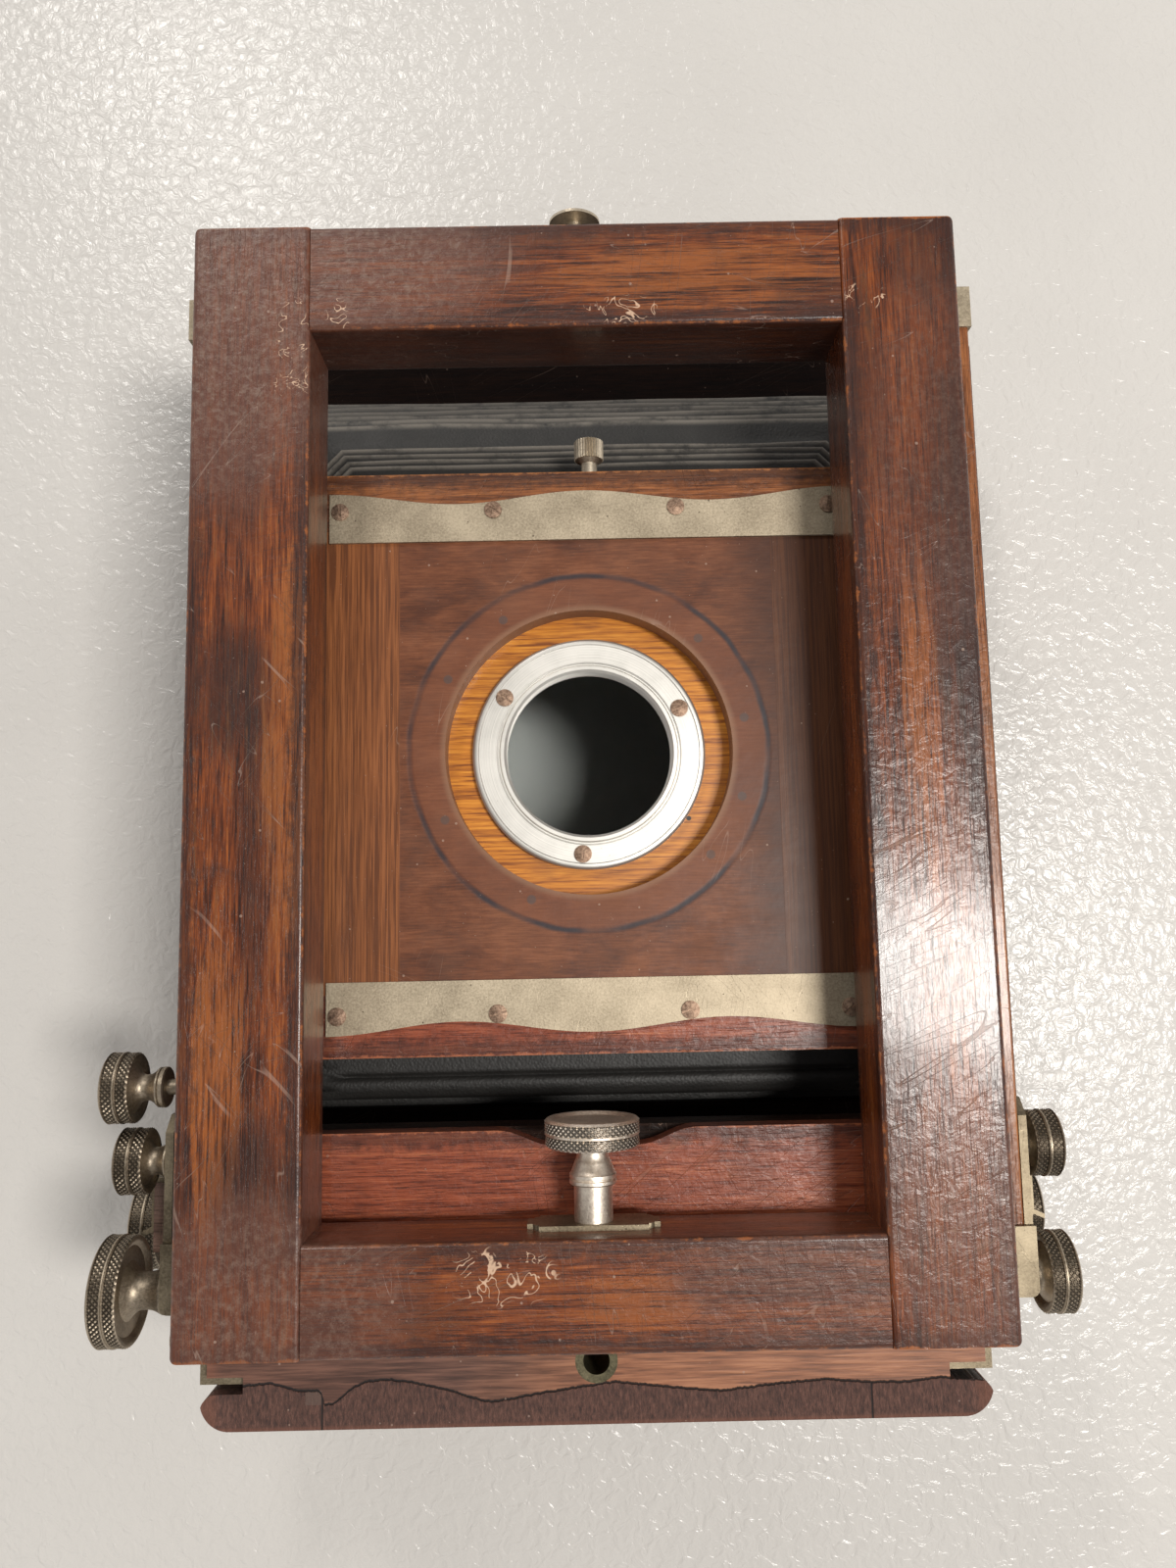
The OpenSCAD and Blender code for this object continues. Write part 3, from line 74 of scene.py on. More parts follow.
# %% [markdown]
# ## The viewpoint
# The eye is over the camera's foot and looks a little towards its top. Its place and turn come from solving
# the perspective of the bed's four corners. Blender fits the sensor's width to the long side of an upright
# picture, so the focal length follows from the picture's height.

# %% Set up the camera
picture_height = 1600
focal_in_pixels = 1202
hinge_to_eye = 117.4
eye = bpy.data.cameras.new("eye")
eye.sensor_width = 36
eye.lens = focal_in_pixels / picture_height * eye.sensor_width
eye.clip_start = 0.01
viewer = bpy.data.objects.new("viewer", eye)
viewer.location = (-0.0008, (bed_top + hinge_to_eye) * MM, 0.5044)
viewer.rotation_euler = (0.1237, -0.0021, -0.0198)
bpy.context.collection.objects.link(viewer)
bpy.context.scene.camera = viewer
print("focal length", round(eye.lens, 2), "mm")

# %% [markdown]
# ## Writing a finish as sums
# A finish is a network of shader nodes. Wired by hand in Python it soon hides its own idea, so one small
# class wraps an output socket and understands the usual operators: `1 - mask` adds a Math node that does
# just that. Colours are mixed with a Mix node, because arithmetic on a colour would turn it grey.

# %% A socket that can be reckoned with
class Field:
    """The value at each point of a surface, as one socket of a shader tree."""

    def __init__(self, tree, socket):
        self.tree = tree
        self.socket = socket

    def calc(self, operation, *others, clamp=False):
        values = dict(enumerate([self, *others]))
        return add_node(self.tree, "ShaderNodeMath", {"operation": operation, "use_clamp": clamp}, values)

    def __add__(self, other):
        return self.calc("ADD", other)

    __radd__ = __add__

    def __sub__(self, other):
        return self.calc("SUBTRACT", other)

    def __rsub__(self, other):
        return (self * -1).calc("ADD", other)

    def __mul__(self, other):
        return self.calc("MULTIPLY", other)

    __rmul__ = __mul__

    def __truediv__(self, other):
        return self.calc("DIVIDE", other)

    def __pow__(self, other):
        return self.calc("POWER", other)

    def __abs__(self):
        return self.calc("ABSOLUTE")

    def least(self, other):
        return self.calc("MINIMUM", other)

    def most(self, other):
        return self.calc("MAXIMUM", other)

    def step(self, start, end):
        """0 below start and 1 above end, with a smooth rise between them; start may be the larger."""
        settings = {"interpolation_type": "SMOOTHSTEP"}
        if start < end:
            return add_node(self.tree, "ShaderNodeMapRange", settings, {0: self, 1: start, 2: end})
        rise = add_node(self.tree, "ShaderNodeMapRange", settings, {0: self, 1: end, 2: start})
        return 1 - rise


print("a Field understands + - * / ** and abs")

# %% [markdown]
# Every node of every finish comes from one function. It takes the node's settings, then what goes into its
# inputs: a number stays a number, while a Field is wired in.

# %% Add a node of any kind
def add_node(tree, kind, settings=None, values=None, output=0):
    """Adds a node of any kind: its settings first, then a number, colour or Field for each input named."""
    made = tree.nodes.new(kind)
    for name, value in (settings or {}).items():
        if name == "stops":
            set_stops(made.color_ramp, value)
        else:
            setattr(made, name, value)
    for name, value in (values or {}).items():
        if isinstance(value, Field):
            tree.links.new(value.socket, made.inputs[name])
        elif value is not None:
            made.inputs[name].default_value = value
    return Field(tree, made.outputs[output])


def set_stops(ramp, stops):
    while len(ramp.elements) < len(stops):
        ramp.elements.new(1)
    for element, (place, colour) in zip(ramp.elements, stops):
        element.position = place
        element.color = (*colour, 1)


print("add_node is ready")

# %% [markdown]
# A finish starts from the place of each point in millimetres, so a pattern keeps its real size on every
# piece. Its patterns are those that real surfaces show: clouds, specks, scratches and single spots.

# %% A finish and the patterns it can use
class Finish:
    """A material made step by step; every length in it is in millimetres of the camera's own frame."""

    def __init__(self, name):
        self.material = bpy.data.materials.new(name)
        self.material.use_nodes = True
        self.tree = self.material.node_tree
        self.shader = self.tree.nodes["Principled BSDF"]
        self.place = self.node("ShaderNodeVectorMath", {"operation": "SCALE"},
                               {0: self.node("ShaderNodeTexCoord", output="Object"), 3: 1 / MM})
        parts = [self.node("ShaderNodeSeparateXYZ", {}, {0: self.place}, output=axis) for axis in "XYZ"]
        self.x, self.y, self.z = parts

    def node(self, kind, settings=None, values=None, output=0):
        return add_node(self.tree, kind, settings, values, output)

    def stretched(self, lengths, turn=0.0, shift=(0, 0, 0)):
        """The place divided by a length on each axis, after a turn in degrees about Z."""
        where = self.place
        if turn:
            where = self.node("ShaderNodeVectorRotate", {"rotation_type": "Z_AXIS"},
                              {"Vector": where, "Angle": math.radians(turn)})
        scaled = self.node("ShaderNodeVectorMath", {"operation": "DIVIDE"}, {0: where, 1: lengths})
        if not any(shift):
            return scaled
        return self.node("ShaderNodeVectorMath", {"operation": "ADD"}, {0: scaled, 1: shift})

    def noise(self, lengths, detail=2.0, roughness=0.5, distortion=0.0, turn=0.0, shift=(0, 0, 0)):
        """Cloudy values round 0.5 that change over the given lengths along X, Y and Z."""
        return self.node("ShaderNodeTexNoise", {},
                         {"Vector": self.stretched(lengths, turn, shift), "Scale": 1.0, "Detail": detail,
                          "Roughness": roughness, "Distortion": distortion})

    def specks(self, spacing, size, shift=(0, 0, 0)):
        """Round spots of random size, one to a cell at most."""
        where = self.stretched((spacing,) * 3, shift=shift)
        near = self.node("ShaderNodeTexVoronoi", {}, {"Vector": where, "Scale": 1.0})
        dice = self.node("ShaderNodeTexVoronoi", {}, {"Vector": where, "Scale": 1.0}, output="Color")
        luck = self.node("ShaderNodeSeparateColor", {}, {0: dice})
        reach = (luck - 0.5).most(0) * (2 * size / spacing)
        return (near - reach).step(0.25 * size / spacing, 0)

    def scratches(self, turn, spread, length, width, share, shift):
        """Long thin lines: where a cloud stretched one way crosses its own middle value, here and there."""
        cloud = self.noise((spread, length, spread), detail=1.0, turn=turn, shift=shift)
        line = abs(cloud - 0.5).step(width, 0)
        chance = self.noise((length * 0.7, length * 0.7, length * 0.7), detail=1.0,
                            shift=(shift[0] + 7, shift[1], shift[2]))
        return line * chance.step(1 - share, 1.05 - share)

    def spot(self, centre, radii, soft=0.5):
        """1 at a point in X and Y, falling to 0 at the radii of an ellipse round it."""
        dx = (self.x - centre[0]) / radii[0]
        dy = (self.y - centre[1]) / radii[1]
        return (dx * dx + dy * dy).step(1, 1 - soft)

    def mix(self, share, first, second):
        """The first colour where share is 0, the second where it is 1."""
        colours = {6: opaque(first), 7: opaque(second)}
        settings = {"data_type": "RGBA", "clamp_factor": True}
        return self.node("ShaderNodeMix", settings, {0: share, **colours}, output=2)

    def ramp(self, value, stops):
        return self.node("ShaderNodeValToRGB", {"stops": stops}, {0: value})

    def bump(self, height, depth, under=None):
        """Presses a pattern of that depth, in millimetres, into the surface."""
        values = {"Strength": 1.0, "Distance": depth * MM, "Height": height}
        if under is not None:
            values["Normal"] = under
        return self.node("ShaderNodeBump", {}, values)

    def put(self, **sockets):
        """Sets the shader's own sockets: base_color=..., roughness=..., normal=..."""
        for name, value in sockets.items():
            socket = self.shader.inputs[name.replace("_", " ").title()]
            if isinstance(value, Field):
                self.tree.links.new(value.socket, socket)
            else:
                socket.default_value = opaque(value)
        return self.material


def opaque(colour):
    return (*colour, 1) if isinstance(colour, tuple) and len(colour) == 3 else colour


def dress(material, *names):
    """Gives CAD nodes or made pieces a material in place of their own."""
    for name in names:
        piece = nodes.get(name) or bpy.data.objects[name]
        piece.data.materials.clear()
        piece.data.materials.append(material)


print("Field and Finish are ready")

# %% [markdown]
# ## Light
# The light is a plain studio's: a pale surround that is dimmer straight overhead, which leaves the varnish
# its depth. A window high on the right gives the long sheen down the right-hand stile, and a broad lamp
# beyond the top of the camera brushes the upper left corner.

# %% Light the scene
world = bpy.data.worlds.new("studio")
world.use_nodes = True
sky = world.node_tree
direction = add_node(sky, "ShaderNodeTexCoord", output="Generated")
up = add_node(sky, "ShaderNodeSeparateXYZ", {}, {0: direction}, output="Z")
surround = sky.nodes["Background"]
surround.inputs["Color"].default_value = (1.0, 0.985, 0.96, 1)
sky.links.new((0.90 - 0.68 * up.most(0)).socket, surround.inputs["Strength"])
bpy.context.scene.world = world
bpy.context.scene.view_settings.view_transform = "Standard"


def lamp(name, place, aim, size, power, colour=(1, 0.97, 0.92)):
    light = bpy.data.lights.new(name, "AREA")
    light.shape = "RECTANGLE"
    light.size, light.size_y = size
    light.energy = power
    light.color = colour
    holder = bpy.data.objects.new(name, light)
    holder.location = place
    holder.rotation_euler = (Vector(aim) - Vector(place)).to_track_quat("-Z", "Y").to_euler()
    bpy.context.collection.objects.link(holder)


lamp("window", place=(0.63, -0.13, 1.70), aim=(0.05, 0, 0.1), size=(0.24, 0.42), power=22)
lamp("far_lamp", place=(-0.79, 1.86, 2.0), aim=(0, 0, 0.1), size=(0.34, 0.26), power=14)
print("a dim-topped surround and two lamps")

# %% [markdown]
# ## The floor
# A painted concrete floor: pale, slightly warm, with the shallow orange-peel of a roller. It is only the
# ground the camera lies on, so it stays a plain wide sheet with a bump in its gloss.

# %% Lay the floor
floor_mesh = bpy.data.meshes.new("floor")
reach = 6.0
corners = [(-reach, -reach, 0), (reach, -reach, 0), (reach, reach, 0), (-reach, reach, 0)]
floor_mesh.from_pydata(corners, [], [(0, 1, 2, 3)])
floor = bpy.data.objects.new("floor", floor_mesh)
bpy.context.collection.objects.link(floor)
floor.location.z = -0.0002
paint = Finish("floor_paint")
roller = paint.noise((5, 5, 5), detail=3, distortion=0.8)
tint = paint.mix(paint.noise((90, 90, 90), detail=3), (0.615, 0.590, 0.562), (0.69, 0.665, 0.635))
paint.put(base_color=tint, roughness=0.25, normal=paint.bump(roller, 0.9))
floor_mesh.materials.append(paint.material)
print("floor laid")

# %% [markdown]
# ## Mahogany
# Every member is its own stick with its grain along its length. The figure is three clouds stretched along
# the grain: broad bands, streaks a few millimetres wide, and the fine dark pores that make the wood look
# like mahogany. Over it lies a century of handling: grime that thickens towards the arrises, rubbed
# patches, pale specks and long thin scratches.

# %% The distance to a member's nearest arris
def arris_distance(finish, name):
    """How far a point on a squared member lies from its nearest edge: the middle one of three distances."""
    low, high = box_mm(name)
    to_faces = []
    for axis, value in enumerate((finish.x, finish.y, finish.z)):
        to_faces.append((value - float(low[axis])).least(float(high[axis]) - value))
    a, b, c = to_faces
    return a.least(b).most(a.most(b).least(c))


opening_low, opening_high = box_mm("bed_rail_hinge")[1], box_mm("bed_rail_end")[0]


def bed_arris(finish):
    """The same for the bed: its four members are one frame, with edges at its outline and opening only."""
    half, back = float(-bed_low[0]), float(bed_low[2])
    across = abs(finish.x)
    outer = (half - across).least(finish.y - float(bed_low[1])).least(float(bed_high[1]) - finish.y)
    beside = (across - float(opening_low[0])).most(float(opening_low[1]) - finish.y)
    opening = beside.most(finish.y - float(opening_high[1]))
    depth = (finish.z - back).least(float(bed_front) - finish.z)
    return outer.least(opening).most(depth)


print("the bed's opening runs from y", round(opening_low[1], 1), "to", round(opening_high[1], 1), "mm")

# %% [markdown]
# The figure is the same cloud in three sizes, each stretched along the grain of its own member. A colour
# ramp turns it into the tones of the wood, so another wood needs only four other tones.

# %% The figure of the wood
ALONG = {"x": (13.0, 0.52, 0.52), "y": (0.52, 13.0, 0.52), "z": (0.52, 0.52, 13.0)}


def grain_lengths(grain, size):
    return tuple(size * length for length in ALONG[grain])


def figured(wood, grain, tones, shift):
    """Bands, streaks and fine lines along the grain, coloured from dark to light, with dark pores."""
    bands = wood.noise(grain_lengths(grain, 16), detail=3, distortion=0.6, shift=shift)
    streaks = wood.noise(grain_lengths(grain, 3.0), detail=4, roughness=0.66, distortion=0.3, shift=shift)
    fine = wood.noise(grain_lengths(grain, 0.9), detail=3, roughness=0.66, shift=shift)
    figure = bands * 0.26 + streaks * 0.50 + fine * 0.54 - 0.15
    colour = wood.ramp(figure, [(0.37, tones[0]), (0.455, tones[1]), (0.55, tones[2]), (0.67, tones[3])])
    pores = wood.noise(grain_lengths(grain, 0.55), detail=2, roughness=0.7, shift=(shift[0] + 3, 0, 0))
    pores = pores.step(0.57, 0.68)
    colour = wood.mix(pores * 0.6, colour, tuple(0.30 * tone for tone in tones[0]))
    return colour, streaks, fine, pores


print("pores", ALONG["y"][0], "mm wide and", ALONG["y"][1], "mm long before scaling")

# %% [markdown]
# Wear comes in layers, which lie in the order in which they came: stains, worn edges, dust, scratches and
# scrapes. A layer takes the colour so far and gives back the next one; only the scratches stay a mask,
# because they are pressed into the wood as well.

# %% What a century leaves on the wood
def stained(wood, colour, spots, streaks, fine, ragged):
    """Stains with ragged outlines: each has a centre, radii, a share and a colour."""
    for centre, radii, share, stain in spots:
        cover = wood.spot(centre, radii, soft=0.95) + streaks * 3.4 + fine * 1.6 + ragged * 0.9 - 3.3
        colour = wood.mix(cover.step(-0.1, 1.0) * share, colour, stain)
    return colour


def worn_edges(wood, colour, member, light, shift):
    """Grime beside the arrises, while the arris itself is rubbed back to lighter wood."""
    edge = bed_arris(wood) if member == "bed" else arris_distance(wood, member)
    chips = wood.noise((5, 5, 5), detail=5, roughness=0.75, shift=shift)
    grime = (edge + chips * 12 - 8.5).step(4.5, 0)
    colour = wood.mix(grime * 0.6, colour, (0.026, 0.012, 0.010))
    rubbed = (edge + chips * 4.2 - 2.0).step(0.8, 0.1)
    return wood.mix(rubbed * 0.6, colour, tuple(1.1 * tone for tone in light))


def dusted(wood, colour, haze, ragged):
    """Dust that has settled in wide patches: a thin veil, and thicker crumbs in it."""
    for centre, radii, share in haze:
        veil = wood.spot(centre, radii, soft=0.95)
        colour = wood.mix((veil * 1.6).least(1) * (0.45 + ragged * 0.5) * share, colour,
                          (0.125, 0.050, 0.034))
        dusty = veil * wood.noise((2.2, 2.2, 2.2), detail=5, roughness=0.8).step(0.42, 0.72)
        colour = wood.mix(dusty * share * 0.8, colour, (0.22, 0.150, 0.115))
    return colour


def scratched(wood, seed):
    """Long thin lines in four directions, which differ from member to member."""
    lines = wood.scratches(24 + seed * 9, 7, 110, 0.0034, 0.50, (seed + 1, 2, 0))
    for k, (turn, length) in enumerate(((-52 + seed * 7, 90), (86 - seed * 5, 120), (-20 + seed * 3, 80))):
        lines = lines.most(wood.scratches(turn, 8, length, 0.0030, 0.44, (seed + 4 + 3 * k, 9 - k, 0)))
    return lines


def scraped(wood, colour, scrapes, ragged, seed):
    """Scribbles of bare wood on the bed's face: each has a centre, radii and the size of its loops."""
    for centre, radii, size in scrapes:
        scribble = wood.noise((2 * size, 2 * size, 2 * size), detail=1, distortion=1.4, shift=(seed, 4, 0))
        bare = abs(scribble - 0.5).step(0.024, 0.008) * wood.spot(centre, radii, soft=0.4)
        bare = bare * ragged.step(0.44, 0.48) * (wood.z - float(bed_front)).step(-0.6, -0.3)
        colour = wood.mix(bare * 0.85, colour, (0.62, 0.42, 0.29))
    return colour


print("stains, worn edges, dust, scratches and scrapes are ready")

# %% The wood itself
def mahogany(name, grain, tones, member=None, gloss=0.27, seed=0.0, marks=1.0, spots=(), haze=(),
             scrapes=(), inner=0, varnish=1.0, shade_above=None):
    """A stained and varnished stick. Its tones run from dark to light, its spots are stains, its haze is
    dust, its scrapes are bare wood. Painted shade: inner darkens it towards the back, and it is painted
    near black above the height given for its shade."""
    wood = Finish(name)
    shift = (seed, seed * 1.7, seed * 0.3)
    colour, streaks, fine, pores = figured(wood, grain, tones, shift)
    blotch = wood.noise((30, 42, 30), detail=5, roughness=0.65, distortion=0.8, shift=shift)
    blotch = blotch + streaks * 0.3 - 0.15
    colour = wood.mix(blotch.step(0.53, 0.70) * 0.46 * marks, colour, (0.030, 0.013, 0.010))
    ragged = wood.noise((9, 14, 9), detail=5, roughness=0.7, shift=shift)
    colour = stained(wood, colour, spots, streaks, fine, ragged)
    if member:
        colour = worn_edges(wood, colour, member, tones[3], shift)
    # Painted shade: the inner walls darken more than a millimetre behind the bed's front, where the opening
    # shades them.
    if inner:
        below = (float(bed_front) - wood.z).step(1.0, 5.0)
        colour = wood.mix(below * inner, colour, (0.020, 0.008, 0.006))
    # Painted shade: above the height given, the wood is painted near black for the shade inside the rear
    # frame.
    if shade_above is not None:
        colour = wood.mix((wood.z - shade_above).step(-1.5, -0.6) * 0.92, colour, (0.005, 0.004, 0.004))
    colour = dusted(wood, colour, haze, ragged)
    lines = scratched(wood, seed)
    dust = wood.specks(5.2, 0.46, shift).most(wood.specks(2.2, 0.17, (seed + 5, 1, 2)))
    colour = wood.mix((lines * 0.32).most(dust * 0.50) * marks, colour, (0.40, 0.28, 0.22))
    colour = scraped(wood, colour, scrapes, ragged, seed)
    dents = wood.noise((4, 4, 4), detail=4, roughness=0.62, distortion=0.4, shift=(seed, 3, 1))
    relief = dents * 0.6 + streaks * 0.14 - pores * 0.12 - lines * 0.35 + dust * 0.25
    smear = wood.noise((18, 18, 18), detail=4, shift=(seed + 2, 0, 0))
    rough = gloss + 0.16 * smear + 0.3 * lines + 0.1 * pores
    wood.shader.inputs["Specular IOR Level"].default_value = 0.40 * varnish
    return wood.put(base_color=colour, roughness=rough, normal=wood.bump(relief, 0.40),
                    coat_weight=0.20 * varnish, coat_roughness=0.13)


print("mahogany is ready")

# %% [markdown]
# The bed is the darkest wood and the most knocked about: its right stile has a long black stain down the
# outer edge, its left one glows orange in its lower half, and the upper left corner is hazy with dust.

# %% Finish the front bed
BED = [(0.022, 0.0065, 0.0035), (0.088, 0.0200, 0.0060), (0.190, 0.0450, 0.0100), (0.39, 0.115, 0.022)]
BLACK = (0.016, 0.012, 0.012)
EMBER = (0.36, 0.115, 0.026)
left_spots = [((-103, 31), (20, 28), 0.8, BLACK), ((-96, -10), (10, 62), 0.6, BLACK),
              ((-88, 10), (11, 90), 0.55, EMBER), ((-108, -84), (12, 60), 0.5, EMBER),
              ((-95, -115), (20, 30), 0.6, BLACK), ((-104, 110), (14, 50), 0.45, BLACK)]
right_spots = [((114, 60), (13, 110), 0.9, BLACK), ((100, 20), (8, 70), 0.5, EMBER),
               ((111, 165), (22, 28), 0.6, BLACK), ((90, -70), (9, 50), 0.5, BLACK),
               ((88, 120), (9, 50), 0.5, BLACK)]
left_haze = [((-108, 150), (42, 75), 0.9), ((-98, -142), (34, 34), 0.7)]
right_haze = [((108, 100), (24, 75), 0.35), ((104, -130), (26, 44), 0.6)]
end_spots = [((40, 160), (70, 16), 0.45, EMBER), ((-30, 174), (60, 10), 0.6, BLACK),
             ((76, 150), (20, 12), 0.5, BLACK)]
hinge_spots = [((-50, -148), (22, 12), 0.7, (0.11, 0.030, 0.008)),
               ((12, -146), (24, 14), 0.7, (0.27, 0.075, 0.014)), ((-76, -150), (14, 10), 0.7, BLACK),
               ((50, -140), (40, 9), 0.4, BLACK)]
bed_woods = {
    "bed_stile_left": dict(grain="y", seed=1.3, spots=left_spots, haze=left_haze,
                           scrapes=[((-87, 140), (6, 17), 3.2), ((-87, 126), (7, 6), 2.4)]),
    "bed_stile_right": dict(grain="y", seed=5.1, spots=right_spots, haze=right_haze, gloss=0.20,
                            scrapes=[((90, 152), (7, 5), 2.6)]),
    # The end rail's inner walls are darkened towards the back as painted shade.
    "bed_rail_end": dict(grain="x", seed=8.7, inner=0.8, spots=end_spots,
                         haze=[((-70, 165), (60, 26), 0.8)],
                         scrapes=[((-74, 148), (4, 7), 2.4), ((14, 149), (13, 5), 3.0)]),
    "bed_rail_hinge": dict(grain="x", seed=3.9, spots=hinge_spots,
                           haze=[((-80, -142), (36, 30), 0.6), ((60, -142), (50, 20), 0.35)],
                           scrapes=[((-26, -138), (17, 9), 3.6)]),
}
for name, looks in bed_woods.items():
    dress(mahogany(name + "_wood", tones=BED, member="bed", **looks), name)
print("bed:", ", ".join(bed_woods))

# %% [markdown]
# The rest of the woodwork uses the same recipe with other tones: redder for the foot board, browner for
# the lens panel, duller and darker for the parts that are mostly out of sight. The front sill and the front
# of the rear frame are painted near black as shade.

# %% Finish the other members
DARK = [(0.030, 0.010, 0.006), (0.065, 0.020, 0.010), (0.110, 0.034, 0.015), (0.19, 0.064, 0.024)]
# Near-black tones that paint shade on wood lying deep inside the camera.
SHADE_TONES = [(0.006, 0.003, 0.003), (0.012, 0.006, 0.004), (0.020, 0.009, 0.006), (0.034, 0.015, 0.009)]
PANEL = [(0.090, 0.027, 0.009), (0.190, 0.060, 0.018), (0.290, 0.098, 0.030), (0.42, 0.160, 0.050)]
RED = [(0.100, 0.020, 0.010), (0.215, 0.048, 0.021), (0.310, 0.075, 0.033), (0.44, 0.140, 0.060)]
rear_front = float(box_mm("rear_rails")[1][2])
members = {
    "upright_left": dict(grain="y", tones=DARK, seed=2.2),
    "upright_right": dict(grain="y", tones=PANEL, seed=6.4),
    # The front sill is painted near black as shade.
    "front_sill": dict(grain="x", tones=SHADE_TONES, seed=7.7, varnish=0.2),
    "panel_stiles": dict(grain="y", tones=DARK, seed=4.4),
    "panel_rail_top": dict(grain="x", tones=PANEL, seed=1.1, member="panel_rail_top", marks=0.3),
    "panel_rail_bottom": dict(grain="x", tones=RED, seed=9.2, member="panel_rail_bottom", marks=0.5),
    "front_foot": dict(grain="x", tones=RED, seed=2.8, member="front_foot", marks=0.6),
    "base_board": dict(grain="x", tones=DARK, seed=5.5, member="base_board"),
    "rear_sill": dict(grain="x", tones=DARK, seed=8.1),
    "rear_cheeks": dict(grain="z", tones=DARK, seed=1.9),
    # The rear stiles and rails are painted near black on their front, as the shade inside the rear.
    "rear_stiles": dict(grain="y", tones=DARK, seed=7.2, varnish=0.12, gloss=0.6, shade_above=rear_front,
                        marks=0.5),
    "rear_rails": dict(grain="x", tones=DARK, seed=4.9, varnish=0.12, gloss=0.6, shade_above=rear_front,
                       marks=0.5),
    "back_frame": dict(grain="y", tones=DARK, seed=0.6),
    "glass_frame": dict(grain="y", tones=PANEL, seed=3.6, member="glass_frame"),
    "side_pads": dict(grain="x", tones=[(0.11, 0.06, 0.045), (0.17, 0.10, 0.075), (0.24, 0.14, 0.11),
                                        (0.3, 0.19, 0.15)],
                      seed=2.5, gloss=0.55),
}
for name, looks in members.items():
    dress(mahogany(name + "_wood", **looks), name)
print(len(members), "more members finished")

# %% [markdown]
# The lens board has a darker middle between two strips of upright grain, and a ring where an older, larger
# flange once sat. Its round recess shows the second layer, still bright orange under its varnish.

# %% Finish the lens board
OLD_FLANGE, PLUG_CIRCLE, RECESS = 58.6, 52, 47.2


def lens_board_wood():
    """Two strips of upright grain beside a redder middle, with the mark of an older flange.
    Its right part is darkened as painted shade.
    """
    wood = Finish("lens_board_wood")
    low, high = box_mm("lens_board")
    middle = (low + high) / 2
    lens_x, lens_y = middle[0], middle[1] + 1.2
    across = abs(wood.x - float(middle[0]))
    strip = across.step(61.6, 62.0)
    upright = wood.noise((1.0, 60, 1.0), detail=4, roughness=0.65, distortion=0.25)
    lines = upright + wood.noise((0.45, 16, 0.45), detail=2) * 0.6 - 0.3
    bright = wood.ramp(lines, [(0.38, (0.12, 0.036, 0.010)), (0.46, (0.175, 0.055, 0.015)),
                               (0.54, (0.225, 0.072, 0.020)), (0.62, (0.28, 0.095, 0.028))])
    cloud = wood.noise((26, 12, 20), detail=5, roughness=0.6, distortion=0.5)
    fine = wood.noise((7.0, 0.55, 7.0), detail=4, roughness=0.7)
    dull = wood.ramp(cloud * 0.55 + fine * 0.45,
                     [(0.38, (0.080, 0.023, 0.009)), (0.5, (0.140, 0.042, 0.015)),
                      (0.62, (0.215, 0.072, 0.028))])
    colour = wood.mix(strip, dull, bright)
    # Painted shade: the right part of the board is darkened where the right stile shades it.
    right = wood.x.step(40, 68) * 0.75
    colour = wood.mix(right, colour, (0.036, 0.011, 0.005))
    dx = wood.x - float(lens_x)
    dy = wood.y - float(lens_y)
    out = (dx * dx + dy * dy) ** 0.5
    wobble = wood.noise((14, 14, 14), detail=3) * 1.6 - 0.8
    ring = abs(out + wobble - OLD_FLANGE).step(1.5, 0.2)
    inside = (out + wobble).step(59, 58)
    colour = wood.mix(inside * 0.4, colour, (0.19, 0.062, 0.028))
    broken = wood.noise((20, 20, 20), detail=2).step(0.35, 0.6)
    colour = wood.mix(ring * 0.95 * (broken * 0.6 + 0.4), colour, (0.022, 0.018, 0.024))
    lip = out.step(49.5, RECESS)
    colour = wood.mix(lip * 0.5, colour, (0.30, 0.17, 0.10))
    for turn in (11, 45, 122, 152, 205, 248, 318, 342):
        angle = math.radians(turn)
        hole = (lens_x + PLUG_CIRCLE * math.cos(angle), lens_y + PLUG_CIRCLE * math.sin(angle))
        plug = wood.spot(hole, (1.7, 1.7), soft=0.5)
        colour = wood.mix(plug * 0.7, colour, (0.075, 0.055, 0.050))
    hazy = wood.noise((18, 18, 18), detail=5, roughness=0.65).step(0.42, 0.75) * (1 - strip) * (1 - right)
    colour = wood.mix(hazy * 0.22, colour, (0.19, 0.095, 0.058))
    dust = wood.specks(4.2, 0.40).most(wood.specks(1.9, 0.15, (5, 1, 2)))
    scores = wood.scratches(18, 8, 60, 0.003, 0.42, (3, 2, 0))
    scores = scores.most(wood.scratches(-68, 8, 60, 0.002, 0.42, (8, 1, 0)))
    colour = wood.mix((dust * 0.5).most(scores * 0.3), colour, (0.42, 0.29, 0.22))
    relief = wood.noise((4, 4, 4), detail=4) * 0.35 + lines * 0.12 * strip - ring * 0.25 + dust * 0.2
    rough = 0.40 + 0.14 * cloud + 0.2 * hazy
    wood.shader.inputs["Specular IOR Level"].default_value = 0.35
    return wood.put(base_color=colour, roughness=rough, normal=wood.bump(relief, 0.25),
                    coat_weight=0.06, coat_roughness=0.25)


dress(lens_board_wood(), "lens_board")
print("lens board finished, old flange", 2 * OLD_FLANGE, "mm across")

